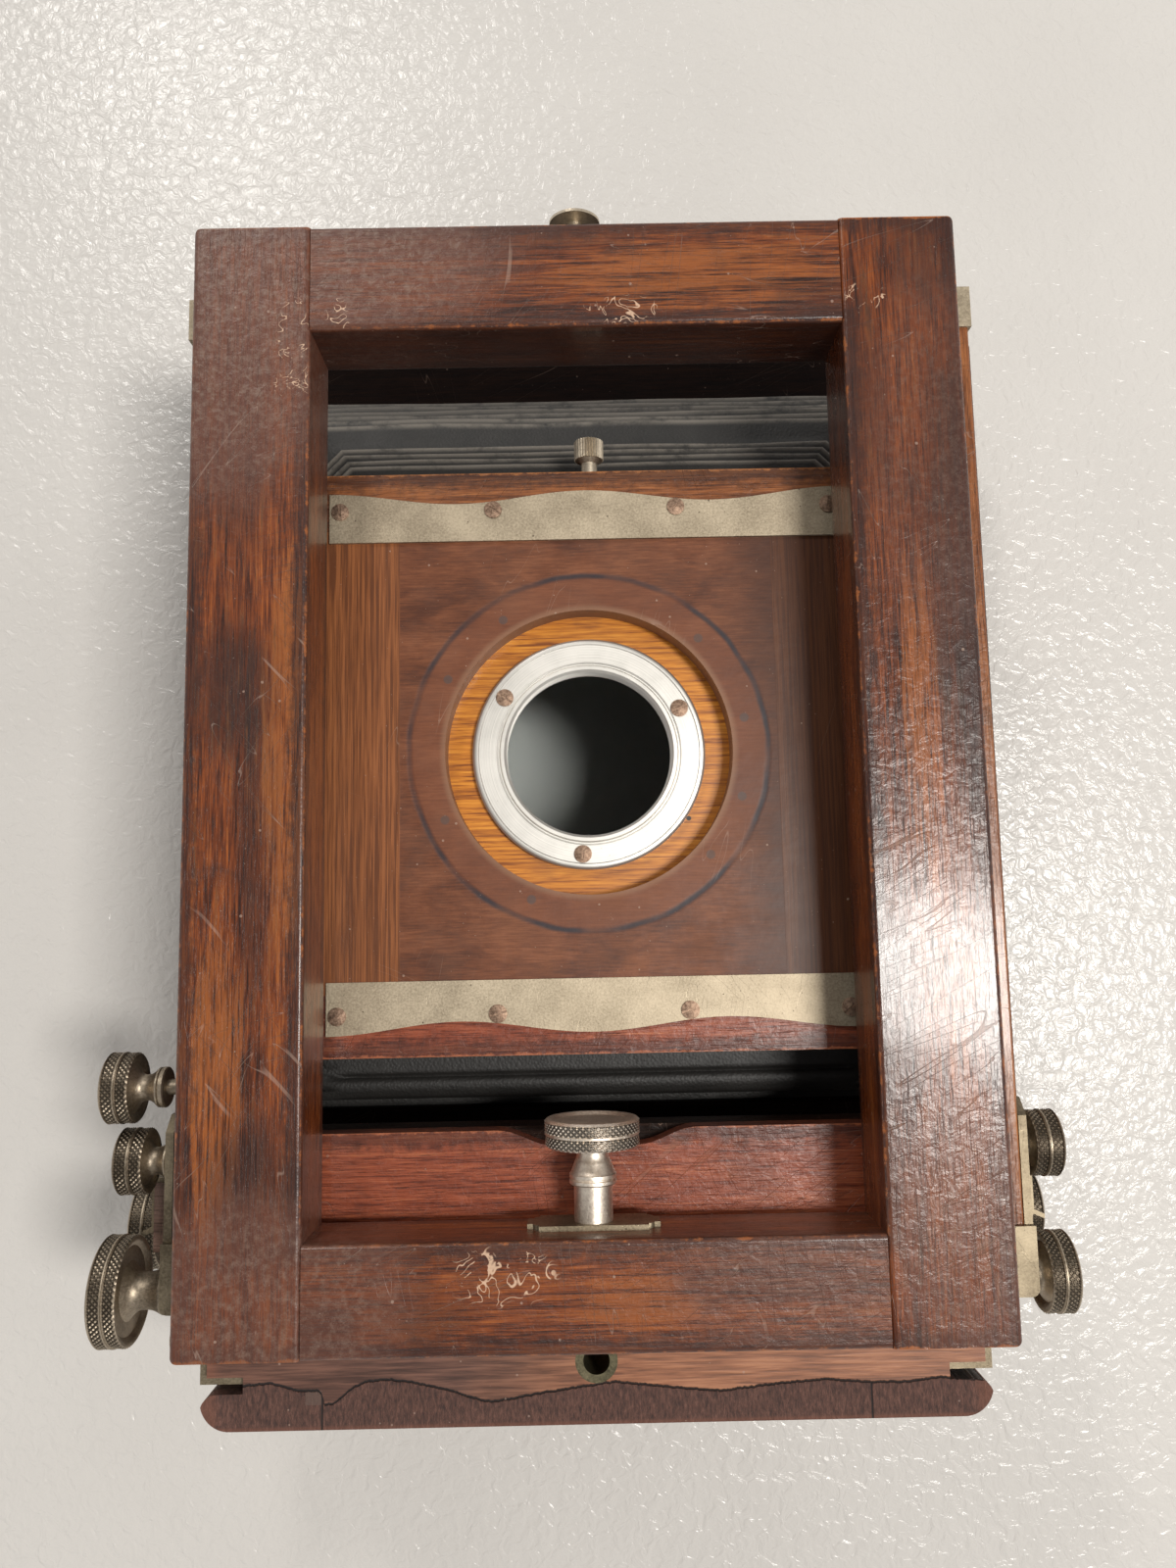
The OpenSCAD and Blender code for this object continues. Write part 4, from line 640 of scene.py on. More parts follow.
# %% Finish the bright layer in its recess
def varnished_wood():
    """The bright layer in the recess: orange varnish over straight grain, and a few old nail holes."""
    wood = Finish("varnished_wood")
    grain = wood.noise((30, 1.2, 1.2), detail=4, roughness=0.65, distortion=0.4)
    fine = wood.noise((9, 0.4, 0.4), detail=2, roughness=0.6)
    figure = grain * 0.7 + fine * 0.3
    colour = wood.ramp(figure, [(0.38, (0.22, 0.060, 0.008)), (0.46, (0.46, 0.150, 0.014)),
                                (0.55, (0.64, 0.235, 0.022)), (0.66, (0.80, 0.34, 0.045))])
    cloud = wood.noise((22, 22, 22), detail=3)
    colour = wood.mix(cloud.step(0.5, 0.72) * 0.5, colour, (0.27, 0.085, 0.012))
    for hole, size in (((38.8, 10), 1.0), ((34.2, -5.8), 0.9), ((-36, -14), 0.6)):
        colour = wood.mix(wood.spot(hole, (size, size), soft=0.4), colour, (0.01, 0.006, 0.004))
    dust = wood.specks(3.4, 0.25)
    colour = wood.mix(dust * 0.35, colour, (0.65, 0.42, 0.22))
    return wood.put(base_color=colour, roughness=0.28 + 0.12 * cloud,
                    normal=wood.bump(figure * 0.3 + dust * 0.2, 0.2),
                    coat_weight=0.4, coat_roughness=0.15)


dress(varnished_wood(), "lens_board_back")
print("recess finished")

# %% [markdown]
# The front edge of the base has split along a ragged line that wanders from one end to the other. Above it
# the wood is still clean, and warmer to the right; below it the end grain is dark and fuzzy. The line is a
# list of points, kept in a ramp, with a fine noise on top.

# %% Finish the front of the base
CRACK = [(-106, -15.9), (-97.2, -15.4), (-89.7, -17.7), (-82.6, -17.8), (-82.2, -21.9), (-78.6, -21.4),
         (-73.3, -17.2), (-69.2, -15.5), (-63.4, -15.0), (-56, -15.7), (-44.5, -18.3), (-35.4, -21.3),
         (-31.3, -22.0), (-19.8, -20.2), (-7.4, -18.5), (5.6, -17.0), (22, -18.8), (36.8, -20.2),
         (55, -18.4), (68.3, -17.5), (81.5, -18.6), (92.2, -18.8), (103, -17.7), (113, -18.5)]
HALF_SPAN, DEEPEST = 120, 30


def split_wood():
    wood = Finish("split_wood")
    stops = [((x + HALF_SPAN) / (2 * HALF_SPAN), (-height / DEEPEST,) * 3) for x, height in CRACK]
    drop = wood.ramp((wood.x + HALF_SPAN) / (2 * HALF_SPAN), stops) * DEEPEST
    ragged = wood.noise((1.6, 1000, 1000), detail=4, roughness=0.7) * 1.3 - 0.65
    border = ragged - drop + float(bed_top)
    above = (wood.y - border).step(-0.1, 0.1)
    grain = wood.noise((20, 1.1, 1.1), detail=4, roughness=0.6, distortion=0.3)
    left = wood.ramp(grain, [(0.36, (0.060, 0.026, 0.018)), (0.5, (0.115, 0.052, 0.036)),
                             (0.64, (0.19, 0.088, 0.060))])
    right = wood.ramp(grain, [(0.36, (0.16, 0.058, 0.026)), (0.5, (0.30, 0.115, 0.053)),
                              (0.64, (0.42, 0.18, 0.088))])
    clean = wood.mix((wood.x + wood.noise((20, 20, 20)) * 40 - 20).step(-45, 15), left, right)
    fuzz = wood.noise((0.7, 2.6, 1.0), detail=5, roughness=0.78)
    rough_wood = wood.ramp(fuzz, [(0.36, (0.036, 0.015, 0.011)), (0.5, (0.088, 0.036, 0.025)),
                                  (0.66, (0.165, 0.074, 0.052))])
    colour = wood.mix(above, rough_wood, clean)
    patch = abs(wood.x + 84.9).step(2.5, 2.4) * abs(wood.y - float(bed_top) + 19.8).step(2.1, 2.0)
    colour = wood.mix(patch * 0.8, colour, (0.125, 0.075, 0.058))
    seam = abs(abs(wood.x) - 82.3).step(0.35, 0.1) * (1 - above)
    crack = abs(wood.y - border).step(0.45, 0.12).most(seam)
    rim = (wood.y - float(bed_top) + 27.8 + fuzz * 1.4).step(0.9, 0.1)
    rim = rim.most((abs(wood.x) + fuzz * 3 - 114).step(0, 3.0))
    colour = wood.mix(rim * 0.4, colour, (0.20, 0.072, 0.040))
    colour = wood.mix(crack * 0.92, colour, (0.006, 0.004, 0.004))
    dust = wood.specks(3.4, 0.34)
    colour = wood.mix(dust * 0.5, colour, (0.42, 0.29, 0.23))
    relief = fuzz * 0.9 * (1 - above) + grain * 0.15 + above * 0.8 - crack * 1.4
    return wood.put(base_color=colour, roughness=0.62 - 0.18 * above, normal=wood.bump(relief, 0.5))


dress(split_wood(), "base_cross_front", "base_rail_left", "base_rail_right")
# Black paint on the bellows frames, darkened further into painted shade for the shade inside the camera.
black_paint_and_shade = Finish("black_paint_and_shade")
mottle = black_paint_and_shade.noise((3, 3, 3), detail=4)
black_paint_and_shade.put(base_color=black_paint_and_shade.mix(mottle, (0.004, 0.004, 0.004), (0.009, 0.008, 0.008)),
                roughness=0.8, normal=black_paint_and_shade.bump(mottle, 0.15))
black_paint_and_shade.shader.inputs["Specular IOR Level"].default_value = 0.1
dress(black_paint_and_shade.material, "bellows_front_frame", "bellows_rear_frame")
print("base front and bellows frames finished")

# %% [markdown]
# ## Metal
# The fittings were nickel plated. Handled nickel goes a warm grey and speckles with dark pits, and stays
# brighter where fingers rub it. The lens flange is a newer aluminium ring, turned on a lathe, so its
# roughness follows rings round the lens. Screws and pins have gone coppery brown.

# %% A finish for plated metal
def nickel(name, dark, light, rough=0.34, pits=0.5, speckle=0.45, knurled=False):
    """Tarnished plate: cloudy tarnish, fine speckle, dark pits; knurled metal is dirty in its grooves."""
    metal = Finish(name)
    cloud = metal.noise((16, 16, 16), detail=5, roughness=0.6)
    grainy = metal.noise((0.75, 0.75, 0.75), detail=3, roughness=0.7)
    tone = cloud * (1 - speckle) + grainy * speckle
    colour = metal.ramp(tone, [(0.36, dark), (0.62, light)])
    pit = metal.specks(3.1, 0.30).most(metal.specks(1.3, 0.12, (3, 7, 1)))
    colour = metal.mix(pit * pits, colour, (0.07, 0.05, 0.03))
    if knurled:
        top = metal.node("ShaderNodeAttribute", {"attribute_name": "wear"}, output="Fac")
        colour = metal.mix(top.step(0.25, 0.85), metal.mix(0.85, colour, (0.022, 0.016, 0.011)), colour)
    wear = metal.scratches(12, 3, 30, 0.004, 0.5, (1, 3, 0))
    wear = wear.most(metal.scratches(-40, 4, 26, 0.003, 0.45, (6, 2, 0)))
    relief = grainy * 0.5 - pit * 0.6 - wear * 0.2
    roughness = rough + 0.22 * grainy - 0.08 * wear + 0.06 * cloud
    return metal.put(base_color=colour, roughness=roughness, metallic=1.0, normal=metal.bump(relief, 0.09))


print("nickel is ready")

# %% [markdown]
# Each group of fittings has two tones of its own, between which the tarnish wanders. What fingers touch
# every day, such as the bed screw, is the brightest; what sits in a corner is the dullest.

# %% Give the fittings their metals
strip_nickel = nickel("strip_nickel", (0.27, 0.222, 0.158), (0.53, 0.450, 0.335), rough=0.42, pits=0.7,
                      speckle=0.55)
knob_nickel = nickel("knob_nickel", (0.20, 0.162, 0.120), (0.54, 0.455, 0.350), rough=0.33, pits=0.5,
                     knurled=True)
screw_nickel = nickel("screw_nickel", (0.60, 0.51, 0.42), (0.95, 0.855, 0.74), rough=0.30, pits=0.5,
                      knurled=True)
lock_nickel = nickel("lock_nickel", (0.40, 0.335, 0.255), (0.72, 0.63, 0.50), rough=0.34, pits=0.5)
plate_nickel = nickel("plate_nickel", (0.14, 0.112, 0.076), (0.36, 0.298, 0.208), rough=0.38, pits=0.45)
brass = nickel("old_brass", (0.20, 0.145, 0.065), (0.50, 0.385, 0.185), rough=0.32, pits=0.5)
knurled_brass = nickel("knurled_brass", (0.24, 0.17, 0.085), (0.58, 0.45, 0.24), rough=0.34, pits=0.4,
                       knurled=True)
dull_brass = nickel("dull_brass", (0.055, 0.050, 0.032), (0.20, 0.175, 0.11), rough=0.40, pits=0.5)
steel = nickel("spring_steel", (0.22, 0.22, 0.22), (0.44, 0.44, 0.43), rough=0.30, pits=0.5)
copper = nickel("browned_screw", (0.13, 0.080, 0.055), (0.42, 0.29, 0.21), rough=0.40, pits=0.5,
                speckle=0.7)
dress(strip_nickel, "strip_top", "strip_bottom", "upright_caps")
dress(plate_nickel, "side_plate_left", "side_plate_right", "front_guides", "rear_guides", "pad_clips",
      "screw_plate", "front_pinion_shaft", "rear_pinion_shaft")
dress(dull_brass, "bed_bushing")
dress(brass, "tripod_bushing", "base_racks", "rear_racks", "bed_racks", "hinge_leaves_base",
      "hinge_leaves_bed")
dress(steel, "leaf_springs")
dress(copper, "panel_screws")
dress(lock_nickel, "board_lock_screw", "bed_stud")
print("plates, racks, springs and screws finished")

# %% Turned aluminium for the lens flange
def turned_aluminium(lens_x, lens_y):
    metal = Finish("turned_aluminium")
    dx, dy = metal.x - lens_x, metal.y - lens_y
    out = (dx * dx + dy * dy) ** 0.5
    rings = metal.node("ShaderNodeTexNoise", {"noise_dimensions": "1D"},
                       {"W": out * 3.0, "Scale": 1.0, "Detail": 4.0})
    cloud = metal.noise((14, 14, 14), detail=5, roughness=0.6)
    tone = rings * 0.5 + cloud * 0.5
    colour = metal.ramp(tone, [(0.35, (0.54, 0.525, 0.490)), (0.6, (0.75, 0.725, 0.680))])
    grimy = metal.specks(2.6, 0.2) * 0.4
    colour = metal.mix(grimy, colour, (0.22, 0.20, 0.17))
    return metal.put(base_color=colour, roughness=0.36 + 0.2 * rings, metallic=0.9,
                     normal=metal.bump(rings * 0.3 + cloud * 0.2, 0.05))


flange_low, flange_high = box_mm("lens_flange")
lens_x, lens_y = ((flange_low + flange_high) / 2)[:2].tolist()
aluminium = turned_aluminium(lens_x, lens_y)
dress(aluminium, "lens_flange")
print("metals finished; lens at", round(lens_x, 1), round(lens_y, 1))

# %% [markdown]
# ## Ground glass
# The glass is ground on one side only, so it passes light but no picture: a rough transmission does that.

# %% Finish the ground glass
glass = Finish("ground_glass")
frost = glass.noise((1.5, 1.5, 1.5), detail=3)
glass.put(base_color=(0.86, 0.90, 0.88), roughness=0.55 + 0.1 * frost, normal=glass.bump(frost, 0.03))
glass.shader.inputs["Transmission Weight"].default_value = 0.75
dress(glass.material, "ground_glass")
print("ground glass finished")

# %% [markdown]
# ## Softened edges
# No real edge is perfectly sharp, and the light that an edge catches tells the eye that it is real. A
# Bevel modifier rounds the sharp edges of the solids without touching their meshes.

# %% Round the sharp edges of the solids
def soften(width, *names, angle=40):
    for name in names:
        edge = nodes[name].modifiers.new("soft_edge", "BEVEL")
        edge.width = width * MM
        edge.segments = 2
        edge.limit_method = "ANGLE"
        edge.angle_limit = math.radians(angle)
        edge.harden_normals = False


soften(0.5, "upright_left", "upright_right", "front_sill", "front_foot", "panel_rail_top",
       "panel_rail_bottom", "base_board", "rear_sill", "rear_cheeks", "side_pads")
soften(0.25, "strip_top", "strip_bottom", "upright_caps", "side_plate_left", "side_plate_right",
       "front_guides", "rear_guides", "pad_clips", "screw_plate")
print("edges softened")

# %% [markdown]
# ## Knurled knobs
# A knob is turned on a lathe, then a tool with crossed ridges is pressed into its rim and leaves small
# pyramids. The knob is built the same way here: a profile is revolved, and where the profile is knurled
# its radius rises and falls with two crossed waves, so the diamonds are real geometry.

# %% The knurling tool
KNURL_DEPTH = 0.60  # how deep it presses
PITCH = 1.85  # from one diamond to the next
STEPS = 4  # points across a diamond


def diamonds_round(radius):
    """How many diamonds fit round a rim."""
    return int(round(2 * math.pi * radius / PITCH))


print("diamonds of", PITCH, "mm")

# %% [markdown]
# Every piece modelled here goes through one function. The piece takes the place of the plain solid of the
# same part, takes its finish, and rides on that solid's body, so that the same joint moves it.
# Only the soft pieces ride on none.

# %% Build a mesh and let it ride on a body
def tube_faces(rings, around):
    """The four-cornered faces of a tube whose points are listed ring by ring."""
    faces = []
    for row in range(rings - 1):
        for k in range(around):
            n = (k + 1) % around
            faces.append((row * around + k, row * around + n, (row + 1) * around + n,
                          (row + 1) * around + k))
    return faces


def make_piece(name, points, faces, material, body, replaced, wear=(), smooth=30):
    """Builds a mesh whose points are in millimetres of the camera's frame, and lets it ride on a body."""
    mesh = bpy.data.meshes.new(name)
    mesh.from_pydata([tuple(MM * v for v in point) for point in points], [], faces)
    mesh.validate()
    piece = bpy.data.objects.new(name, mesh)
    bpy.context.collection.objects.link(piece)
    mesh.shade_smooth()
    mesh.set_sharp_from_angle(angle=math.radians(smooth))
    mesh.materials.append(material)
    if len(wear):
        mesh.attributes.new("wear", "FLOAT", "POINT").data.foreach_set("value", wear)
    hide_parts(replaced)
    if body:
        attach(piece, body)
    return piece


print("tube_faces and make_piece are ready")

# %% Revolve a profile, with knurled bands
def revolve(name, profile, place, turn, material, body, replaced, around=144):
    """profile lists (height, radius, diamonds): diamonds over 0 knurls the stretch up to the next point."""
    rows = []
    for start, end in zip(profile, profile[1:]):
        steps = 1
        if start[2]:
            pitch = 2 * math.pi * start[1] / start[2]
            steps = STEPS * max(1, round((end[0] - start[0]) / pitch))
        for step in range(steps):
            share = step / steps
            height = start[0] + (end[0] - start[0]) * share
            rows.append((height, start[1] + (end[1] - start[1]) * share, start[2], step / STEPS))
    rows.append((*profile[-1][:2], 0, 0))
    knurled = [row[2] for row in rows if row[2]]
    count = STEPS * knurled[0] if knurled else around
    turns = np.arange(count)
    points, wear = [], []
    for height, radius, diamonds, along in rows:
        top = np.ones(count)
        if diamonds:
            first = np.abs((turns / STEPS + along) % 1 - 0.5)
            second = np.abs((turns / STEPS - along) % 1 - 0.5)
            top = 2 * np.minimum(first, second)
        radii = radius - KNURL_DEPTH * (1 - top)
        wear += list(top)
        angles = turns * 2 * math.pi / count
        points += list(zip(radii * np.cos(angles), radii * np.sin(angles), np.full(count, height)))
    placed = Matrix.Translation(place) @ turn
    return make_piece(name, [placed @ Vector(point) for point in points], tube_faces(len(rows), count),
                      material, body, replaced, wear)


TO_RIGHT = Matrix.Rotation(math.radians(90), 4, "Y")
TO_LEFT = Matrix.Rotation(math.radians(-90), 4, "Y")
UP_CAMERA = Matrix.Rotation(math.radians(-90), 4, "X")
print("revolve is ready")

# %% [markdown]
# All the side knobs share one pattern: a hub that draws in and flares again, a dished inner face, and a
# rim of two knurled bands with a bright ridge between them. Only their radii and lengths differ.

# %% The two parts of a side knob's profile
def rim_profile(radius, start, length, diamonds):
    """Two knurled bands with a ridge between them, closed by a shallow dish."""
    band = (length - 2.3) / 2
    end = start + length
    ridge = start + 0.6 + band
    return [(start, radius - 1.5, 0), (start, radius - 0.7, 0), (start + 0.6, radius, diamonds),
            (ridge, radius - 0.3, 0), (ridge + 0.1, radius - 0.3, 0), (ridge + 0.2, radius, 0),
            (ridge + 0.65, radius, 0), (ridge + 0.75, radius - 0.3, 0), (ridge + 0.85, radius, diamonds),
            (end - 0.6, radius, 0), (end, radius - 0.7, 0), (end, radius - 1.7, 0),
            (end - 0.9, radius - 3.0, 0), (end - 1.2, radius * 0.5, 0), (end - 1.2, 0.01, 0)]


def hub_profile(radius, length, collar, neck):
    """From the collar at the camera's side, along a drawn-in neck, to the dished face inside the rim."""
    points = [(0, 0.01, 0), (0, collar - 0.4, 0), (0.4, collar, 0), (1.6, collar, 0),
              (1.9, collar - 0.5, 0), (2.2, collar - 0.1, 0), (2.7, collar - 0.1, 0)]
    for step in range(1, 15):
        share = step / 15
        flare = (2 * share - 1) ** 2 if share < 0.5 else 1.5 * (2 * share - 1) ** 3
        points.append((2.7 + (length + 0.6 - 2.7) * share, neck + (collar - neck) * flare, 0))
    return points + [(length + 1.3, collar + 1.6, 0), (length + 1.4, radius - 3.4, 0),
                     (length + 0.4, radius - 2.2, 0)]


print("profiles are ready")

# %% [markdown]
# A knob is placed from the box of the solid that it replaces: its axis and its radius come from that box.
# It begins a little outside the plate behind it, so that it can turn without rubbing.

# %% A knob across the camera
def side_knob(name, node, body, side, collar_x, radius, outer, axis, collar, neck, shaft=None, tip=None):
    """A knob across the camera: it runs from collar_x to outer, both counted away from the middle.
    A shaft inwards and a tip outwards are pairs of length and radius."""
    length = outer - collar_x
    rim = min(9.0, length - 5)
    profile = hub_profile(radius, length - rim, collar, neck)
    profile += rim_profile(radius, length - rim, rim, diamonds_round(radius))
    if shaft:
        profile = [(-shaft[0], 0.01, 0), (-shaft[0], shaft[1], 0), (0, shaft[1], 0)] + profile[1:]
    if tip:
        profile = profile[:-1] + [(length - 1.2, tip[1], 0), (length + tip[0] - 0.3, tip[1], 0),
                                  (length + tip[0], tip[1] - 0.4, 0), (length + tip[0], 0.01, 0)]
    place = Vector((side * collar_x, *axis))
    return revolve(name, profile, place, TO_RIGHT if side > 0 else TO_LEFT, knob_nickel, body, node)


def outer_face(name, side):
    low, high = box_mm(name)
    return high[0] if side > 0 else -low[0]


def centre_and_radius(name):
    """The axis of a knob across the camera, as (y, z), and its radius, from the box of its solid."""
    low, high = box_mm(name)
    return tuple((low + high)[1:] / 2), (high[2] - low[2]) / 2


print("side_knob is ready")

# %% Turn the focus knobs and the side clamps
SIDES = (("left", -1), ("right", 1))
SEAT = 0.3
for word, side in SIDES:
    plate = outer_face("side_plate_left" if side < 0 else "upright_caps", side) + SEAT
    node = "focus_knob_" + word
    axis, radius = centre_and_radius(node)
    side_knob(node + "_turned", node, "front_pinion", side, plate, radius, outer_face(node, side), axis,
              collar=7.5, neck=5.7)
    node = "side_clamp_" + word
    axis, radius = centre_and_radius(node)
    tip = (2.0, 2.4) if side > 0 else None
    outer = outer_face(node, side) - (tip[0] if tip else 0)
    side_knob(node + "_turned", node, "side_clamp_" + word[0], side, plate, radius, outer, axis,
              collar=6.0, neck=4.3, shaft=(12, 2.4), tip=tip)
print("focus knobs and side clamps turned")

# %% [markdown]
# The other knobs differ more. The rise clamp stands off on a thin shaft, the guide clamps are small and
# knurled all over, and the bed screw is a long sleeve with a collar and a wide head.

# %% Turn the clamps, the rear knobs and the bed screw
axis, radius = centre_and_radius("rise_clamp_knob")
stand_off = 5
side_knob("rise_clamp_turned", "rise_clamp_knob", "rise_clamp", -1,
          outer_face("upright_left", -1) + stand_off, radius, outer_face("rise_clamp_knob", -1), axis,
          collar=6.4, neck=4.1, shaft=(12, 2.5))
rear_axis = centre_and_radius("rear_knobs")[0]
REAR_RADII = (15.5, 12.5)
for (word, side), radius in zip(SIDES, REAR_RADII):
    side_knob("rear_knob_" + word, "rear_knobs", "rear_pinion", side,
              outer_face("rear_cheeks", side) + SEAT, radius, outer_face("rear_knobs", side), rear_axis,
              collar=7.2, neck=5.4)
    node = "guide_clamp_" + word
    axis, radius = centre_and_radius(node)
    start = outer_face("front_guides", side) + SEAT
    length = outer_face(node, side) - start
    profile = [(-8, 0.01, 0), (-8, 2.4, 0), (0, 2.4, 0), (0, 2.8, 0), (0.3, 3.1, 0), (4.1, 3.1, 0),
               (4.4, radius - 0.7, 0), (4.9, radius, 22), (length - 0.5, radius, 0),
               (length, radius - 0.6, 0), (length, radius - 2.0, 0), (length - 0.5, radius - 2.6, 0),
               (length - 0.5, 0.01, 0)]
    revolve(node + "_turned", profile, Vector((side * start, *axis)), TO_RIGHT if side > 0 else TO_LEFT,
            knurled_brass, "guide_clamp_" + word[0], node)

screw_low, screw_high = box_mm("bed_screw")
screw_axis = (screw_low + screw_high) / 2
head_r = (screw_high[0] - screw_low[0]) / 2
sleeve = [(1, 0.01, 0), (1, 3.5, 0), (1.5, 4, 0), (9, 4, 0), (9, 5.3, 0), (9.4, 5.7, 0), (42.8, 5.7, 0),
          (43, 6.6, 0), (43.4, 7, 0), (44.3, 7, 0), (44.55, 6.6, 0), (44.8, 6.6, 0), (45.05, 7, 0),
          (46, 7, 0), (46.4, 6.6, 0)]
sleeve_end, hub_length = sleeve[-1][0], 7.6
rim_start = sleeve_end + hub_length
hub = [(height + sleeve_end, r, 0) for height, r, _ in hub_profile(head_r, hub_length, 5.6, 4.7)[6:]]
head = rim_profile(head_r, rim_start, screw_high[1] - bed_top - rim_start, diamonds_round(head_r))
revolve("bed_screw_turned", sleeve + hub + head, Vector((screw_axis[0], bed_top, screw_axis[2])),
        UP_CAMERA, screw_nickel, "bed_screw", "bed_screw")
print("clamps, rear knobs and bed screw turned")

# %% [markdown]
# ## The lens flange
# Its face is turned flat with two shallow rings, and inside it runs the thread that the lens screws into:
# the same revolved profile, zigzagging down the bore.

# %% Turn the lens flange
seat_z, face_z, lip_z = flange_high[2] - 3.5, flange_high[2] - 0.3, flange_high[2]
bore = 27.35
THREADS, THREAD_PITCH = 8, 0.8
profile = [(flange_low[2], bore, 0), (flange_low[2], 29.0, 0), (seat_z, 29.0, 0), (seat_z, 38.4, 0),
           (seat_z + 0.2, 38.6, 0), (face_z - 0.8, 38.6, 0), (face_z - 0.15, 38.0, 0), (face_z, 37.6, 0),
           (face_z, 36.9, 0), (face_z - 0.12, 36.7, 0), (face_z, 36.5, 0), (face_z, 30.7, 0),
           (face_z - 0.35, 30.2, 0), (face_z - 0.35, 29.8, 0), (lip_z, 29.3, 0), (lip_z, 28.2, 0),
           (lip_z - 0.4, 27.7, 0)]
for turn_of_thread in range(THREADS):
    z = lip_z - 0.7 - THREAD_PITCH * turn_of_thread
    profile += [(z, bore, 0), (z - 0.4, 28.1, 0)]
profile.append((flange_low[2], bore, 0))
revolve("lens_flange_turned", profile, Vector((lens_x, lens_y, 0)), Matrix.Identity(4), aluminium,
        "panel", "lens_flange", around=240)
print("flange turned,", THREADS, "threads")

# %% [markdown]
# ## The bellows
# A camera's bellows is leather over stiffened panels, eight-sided where its corners are cut. Packed flat,
# its folds show only as worn grey lines, each a little inside the one below it. The rings below step out
# from the lens panel to the rear frame: a narrow group of folds, a flat step, and a wide group. Since the
# panel, the front and the rear all move, the tube is cut in three, each third listed with the two bodies
# that it joins.

# %% Lay out the rings of the bellows
bellows_low, bellows_high = box_mm("bellows")
rear_ring = sum(box_mm("bellows_rear_frame")) / 2
front_ring = sum(box_mm("bellows_front_frame")) / 2
PLEAT = [(0.0, 0.0), (0.14, 0.30), (0.32, 0.68), (0.42, 0.90), (0.47, 0.98), (0.53, 0.98), (0.58, 0.90),
         (0.68, 0.68), (0.86, 0.30)]


def pleats(z_from, z_to, ridges, depth):
    """Rows of (z, half width, wear) for folds whose ridges have the half widths given."""
    rows = []
    pitch = (z_to - z_from) / len(ridges)
    for k, ridge in enumerate(ridges):
        rows += [(z_from + (k + share) * pitch, ridge - depth * (1 - out), out) for share, out in PLEAT]
    return rows


back_z, front_z = float(bellows_low[2]), float(bellows_high[2])
cut_a, cut_b = back_z + 13.7, back_z + 27.7
UPPER_REACH = 4.4
rear_rows = pleats(back_z, cut_a, (133.4, 131.2, 129.0), 10)
middle_rows = pleats(cut_a, cut_b - 2.5, (126.8, 124.6, 122.4), 10)
middle_rows += [(cut_b - 2.4, 111, 0), (cut_b - 1.2, 110.5, 0)]
front_rows = pleats(cut_b, front_z, (112.5, 110.0, 107.5, 105.0), 8) + [(front_z, 98, 0)]

print(len(rear_rows), "rows at the rear,", len(middle_rows), "in the middle,", len(front_rows), "in front")

# %% [markdown]
# Along its low side the front third has no folds: there the leather ends in a roll, a sewn seam and a flat
# band. The same rows of points follow that outline instead, spread evenly along it.

# %% Shape the low side
ROLL = [(85.0, 106), (88.5, 112), (92, 115.2), (95, 115.8), (97.8, 114), (99.2, 111), (99.5, 109),
        (99.0, 107.2), (98.0, 106.4), (98.0, 105.8), (99.0, 105.2), (99.5, 104.4), (99.6, 98), (99.7, 97)]
heights, halves = np.array(ROLL).T
run = np.concatenate([[0], np.cumsum(np.hypot(np.diff(heights), np.diff(halves)))])
places = np.linspace(0, run[-1], len(front_rows))
low_points = zip(np.interp(places, run, heights), np.interp(places, run, halves))
low_side = dict(zip((row[0] for row in front_rows), low_points))
print("the low side's outline is", round(run[-1], 1), "mm long")

# %% [markdown]
# Each third ends on the ring where the next one begins, so the tube stays closed. A ring is
# a square with cut corners, because real bellows are stiffened panels whose corners fold inwards.

# %% Cut the tube in three
thirds = {"bellows_rear": (rear_rows + middle_rows[:1], "rear", "base"),
          "bellows_middle": (middle_rows + front_rows[:1], "base", "front"),
          "bellows_front": (front_rows, "front", "panel")}


def eight_sided(half, low, high, around=30, corner=9):
    """Points round a square with cut corners, reaching down to low and up to high."""
    wide, narrow = 0.20 * half, 0.14 * half
    ends = [(half, -(low - narrow)), (half, high - wide), (half - wide, high), (-(half - wide), high),
            (-half, high - wide), (-half, -(low - narrow)), (-(half - narrow), -low), (half - narrow, -low)]
    points = []
    for k, (start, end) in enumerate(zip(ends, ends[1:] + ends[:1])):
        steps = around if k % 2 == 0 else corner
        for step in range(steps):
            points.append((start[0] + (end[0] - start[0]) * step / steps,
                           start[1] + (end[1] - start[1]) * step / steps))
    return points


print(sum(len(part[0]) for part in thirds.values()), "rings")

# %% [markdown]
# Leather shows a fine pebble all over, and goes grey where its ridges rub. How worn a ring is goes along
# with its points, so the finish knows where the ridges are.

# %% Sew the bellows in three parts
leather = Finish("leather")
worn = leather.node("ShaderNodeAttribute", {"attribute_name": "wear"}, output="Fac")
pebbles = leather.node("ShaderNodeTexVoronoi", {"feature": "SMOOTH_F1"},
                       {"Vector": leather.stretched((0.9,) * 3), "Scale": 1.0})
scuffs = leather.noise((14, 14, 5), detail=5, roughness=0.7)
hide = leather.mix(leather.noise((9, 9, 9), detail=4), (0.008, 0.0075, 0.007), (0.024, 0.022, 0.020))
grey = worn.step(0.72, 0.98) * scuffs.step(0.26, 0.55)
leather.put(base_color=leather.mix(grey * 0.8, hide, (0.22, 0.195, 0.165)), roughness=0.42 + 0.25 * scuffs,
            normal=leather.bump(pebbles * -0.6 + scuffs * 0.4, 0.22))

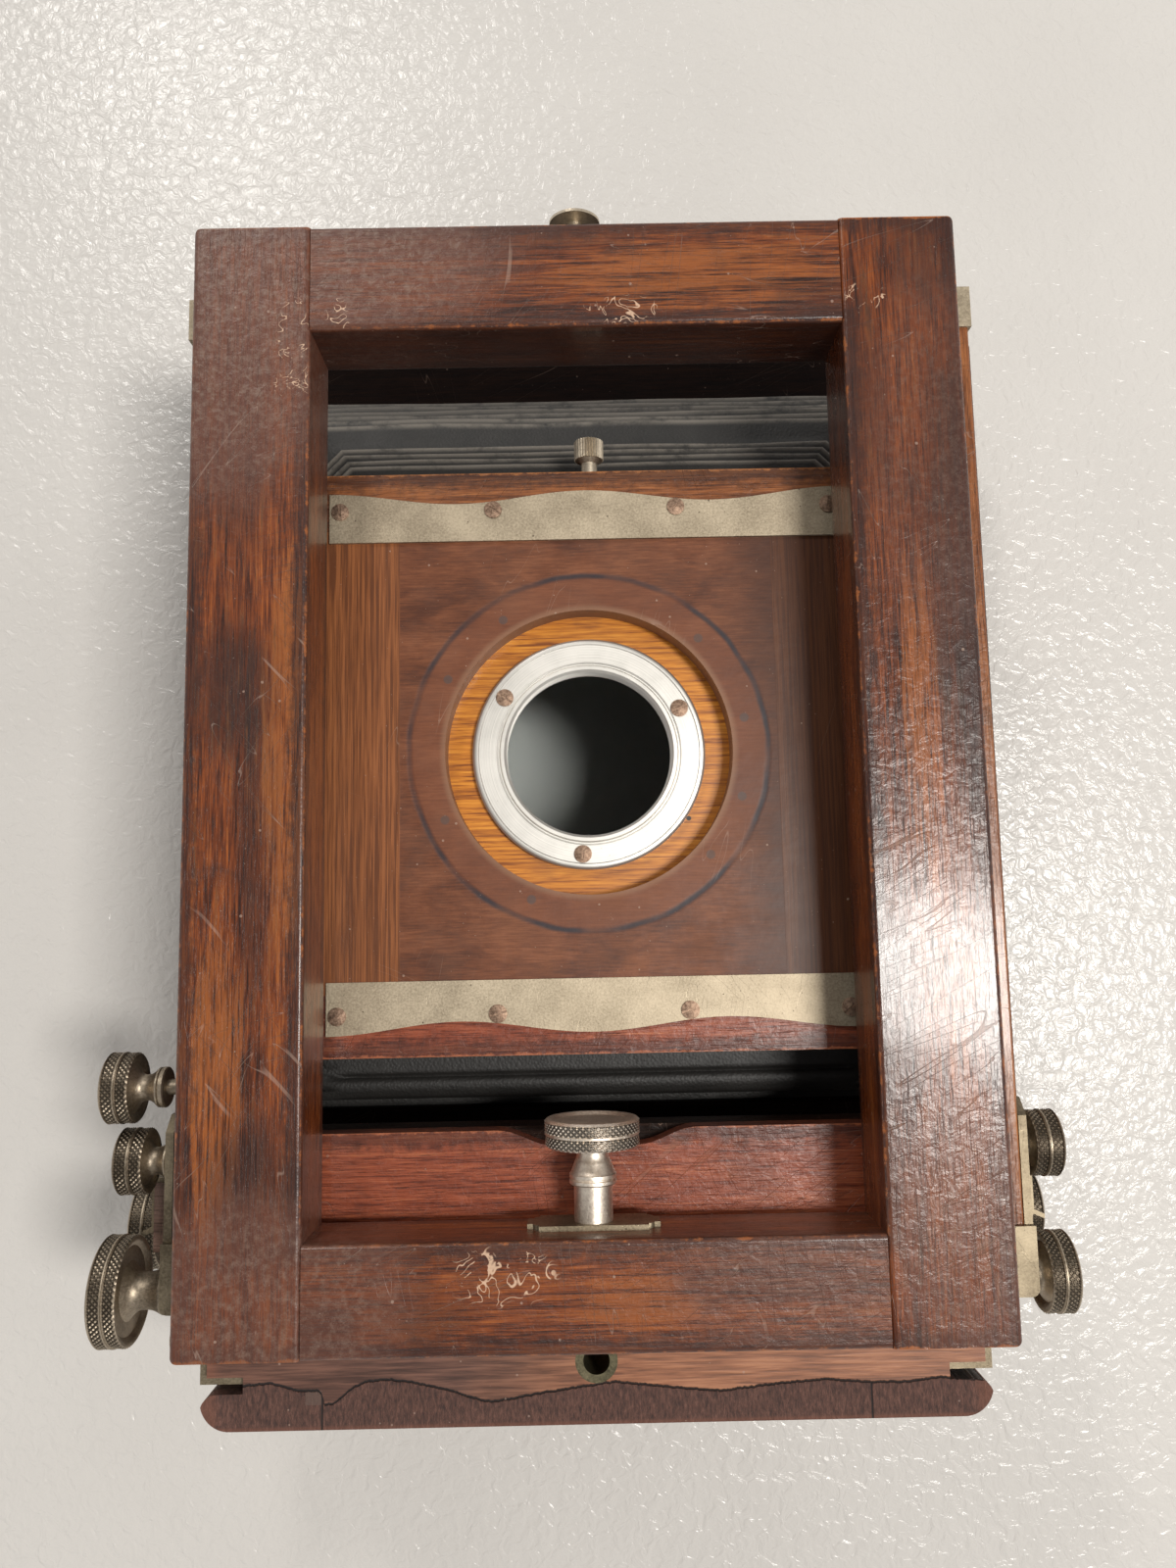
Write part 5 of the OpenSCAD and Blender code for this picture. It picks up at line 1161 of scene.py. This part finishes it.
for name, (rows, first_body, second_body) in thirds.items():
    points, wear = [], []
    for z, half, out in rows:
        share = (z - back_z) / (front_z - back_z)
        middle_x, middle_y = (rear_ring + (front_ring - rear_ring) * share)[:2]
        low_z, low = low_side.get(z, (z, half))
        for x, y in eight_sided(half, low, half + UPPER_REACH):
            sway = noise.noise(Vector((x / 40, y / 40, z / 3))) * out * (y > 0)
            scale = (half + 0.5 * sway) / half
            bottom = min(max((-y - 0.85 * low) / (0.15 * low), 0), 1)
            points.append((middle_x + x * scale, middle_y + y * scale,
                           z + (low_z - z) * bottom + 0.5 * sway))
            wear.append(out * (1 - 0.7 * bottom))
    faces = tube_faces(len(rows), len(points) // len(rows))
    part = make_piece(name, points, faces, leather.material, None, "bellows", wear, smooth=75)
    rows[0][0] * MM
    rows[-1][0] * MM
    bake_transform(part)
print("bellows in", len(thirds), "parts")

# %% [markdown]
# ## The leaf springs
# Two flat springs press the ground-glass frame home. Their feet stay on the back and their middles on the
# frame, and each is built in two halves.

# %% Bend the leaf springs
spring_low, spring_high = box_mm("leaf_springs")
middle_y = (spring_low[1] + spring_high[1]) / 2
tip = (spring_high[1] - spring_low[1]) / 2
foot, flat = tip - 12, tip - 26
thick, wide, rounding = 0.8, 6.0, 0.2
STATIONS, CORNERS = 60, 8
low_z, rise_z = spring_low[2], spring_high[2] - spring_low[2] - thick


def spring_height(along):
    """The underside of the spring, that far from its middle."""
    share = min(max((along - flat) / (foot - flat), 0), 1)
    return low_z + rise_z * share * share * (3 - 2 * share)


for word, left_edge in (("left", spring_low[0]), ("right", spring_high[0] - wide)):
    for end, direction in (("foot", -1), ("head", 1)):
        points = []
        for station in range(STATIONS + 1):
            along = tip * station / STATIONS
            z = spring_height(along)
            y = middle_y + direction * along
            inner, outer = left_edge, left_edge + wide
            points += [(inner, y, z + rounding), (inner + rounding, y, z), (outer - rounding, y, z),
                       (outer, y, z + rounding), (outer, y, z + thick - rounding),
                       (outer - rounding, y, z + thick), (inner + rounding, y, z + thick),
                       (inner, y, z + thick - rounding)]
        faces = [face[::-direction] for face in tube_faces(STATIONS + 1, CORNERS)]
        first_end, last_end = range(CORNERS), range(len(points) - CORNERS, len(points))
        faces += [tuple(first_end)[::direction], tuple(last_end)[::-direction]]
        spring = make_piece(f"spring_{word}_{end}", points, faces, steel, None, "leaf_springs")
        middle_x = (left_edge + wide / 2) * MM
        bend_from, bend_to = [(middle_x, (middle_y + direction * way) * MM, low_z * MM)
                              for way in (flat * 0.3, foot)]
        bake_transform(spring)
print("four half springs")
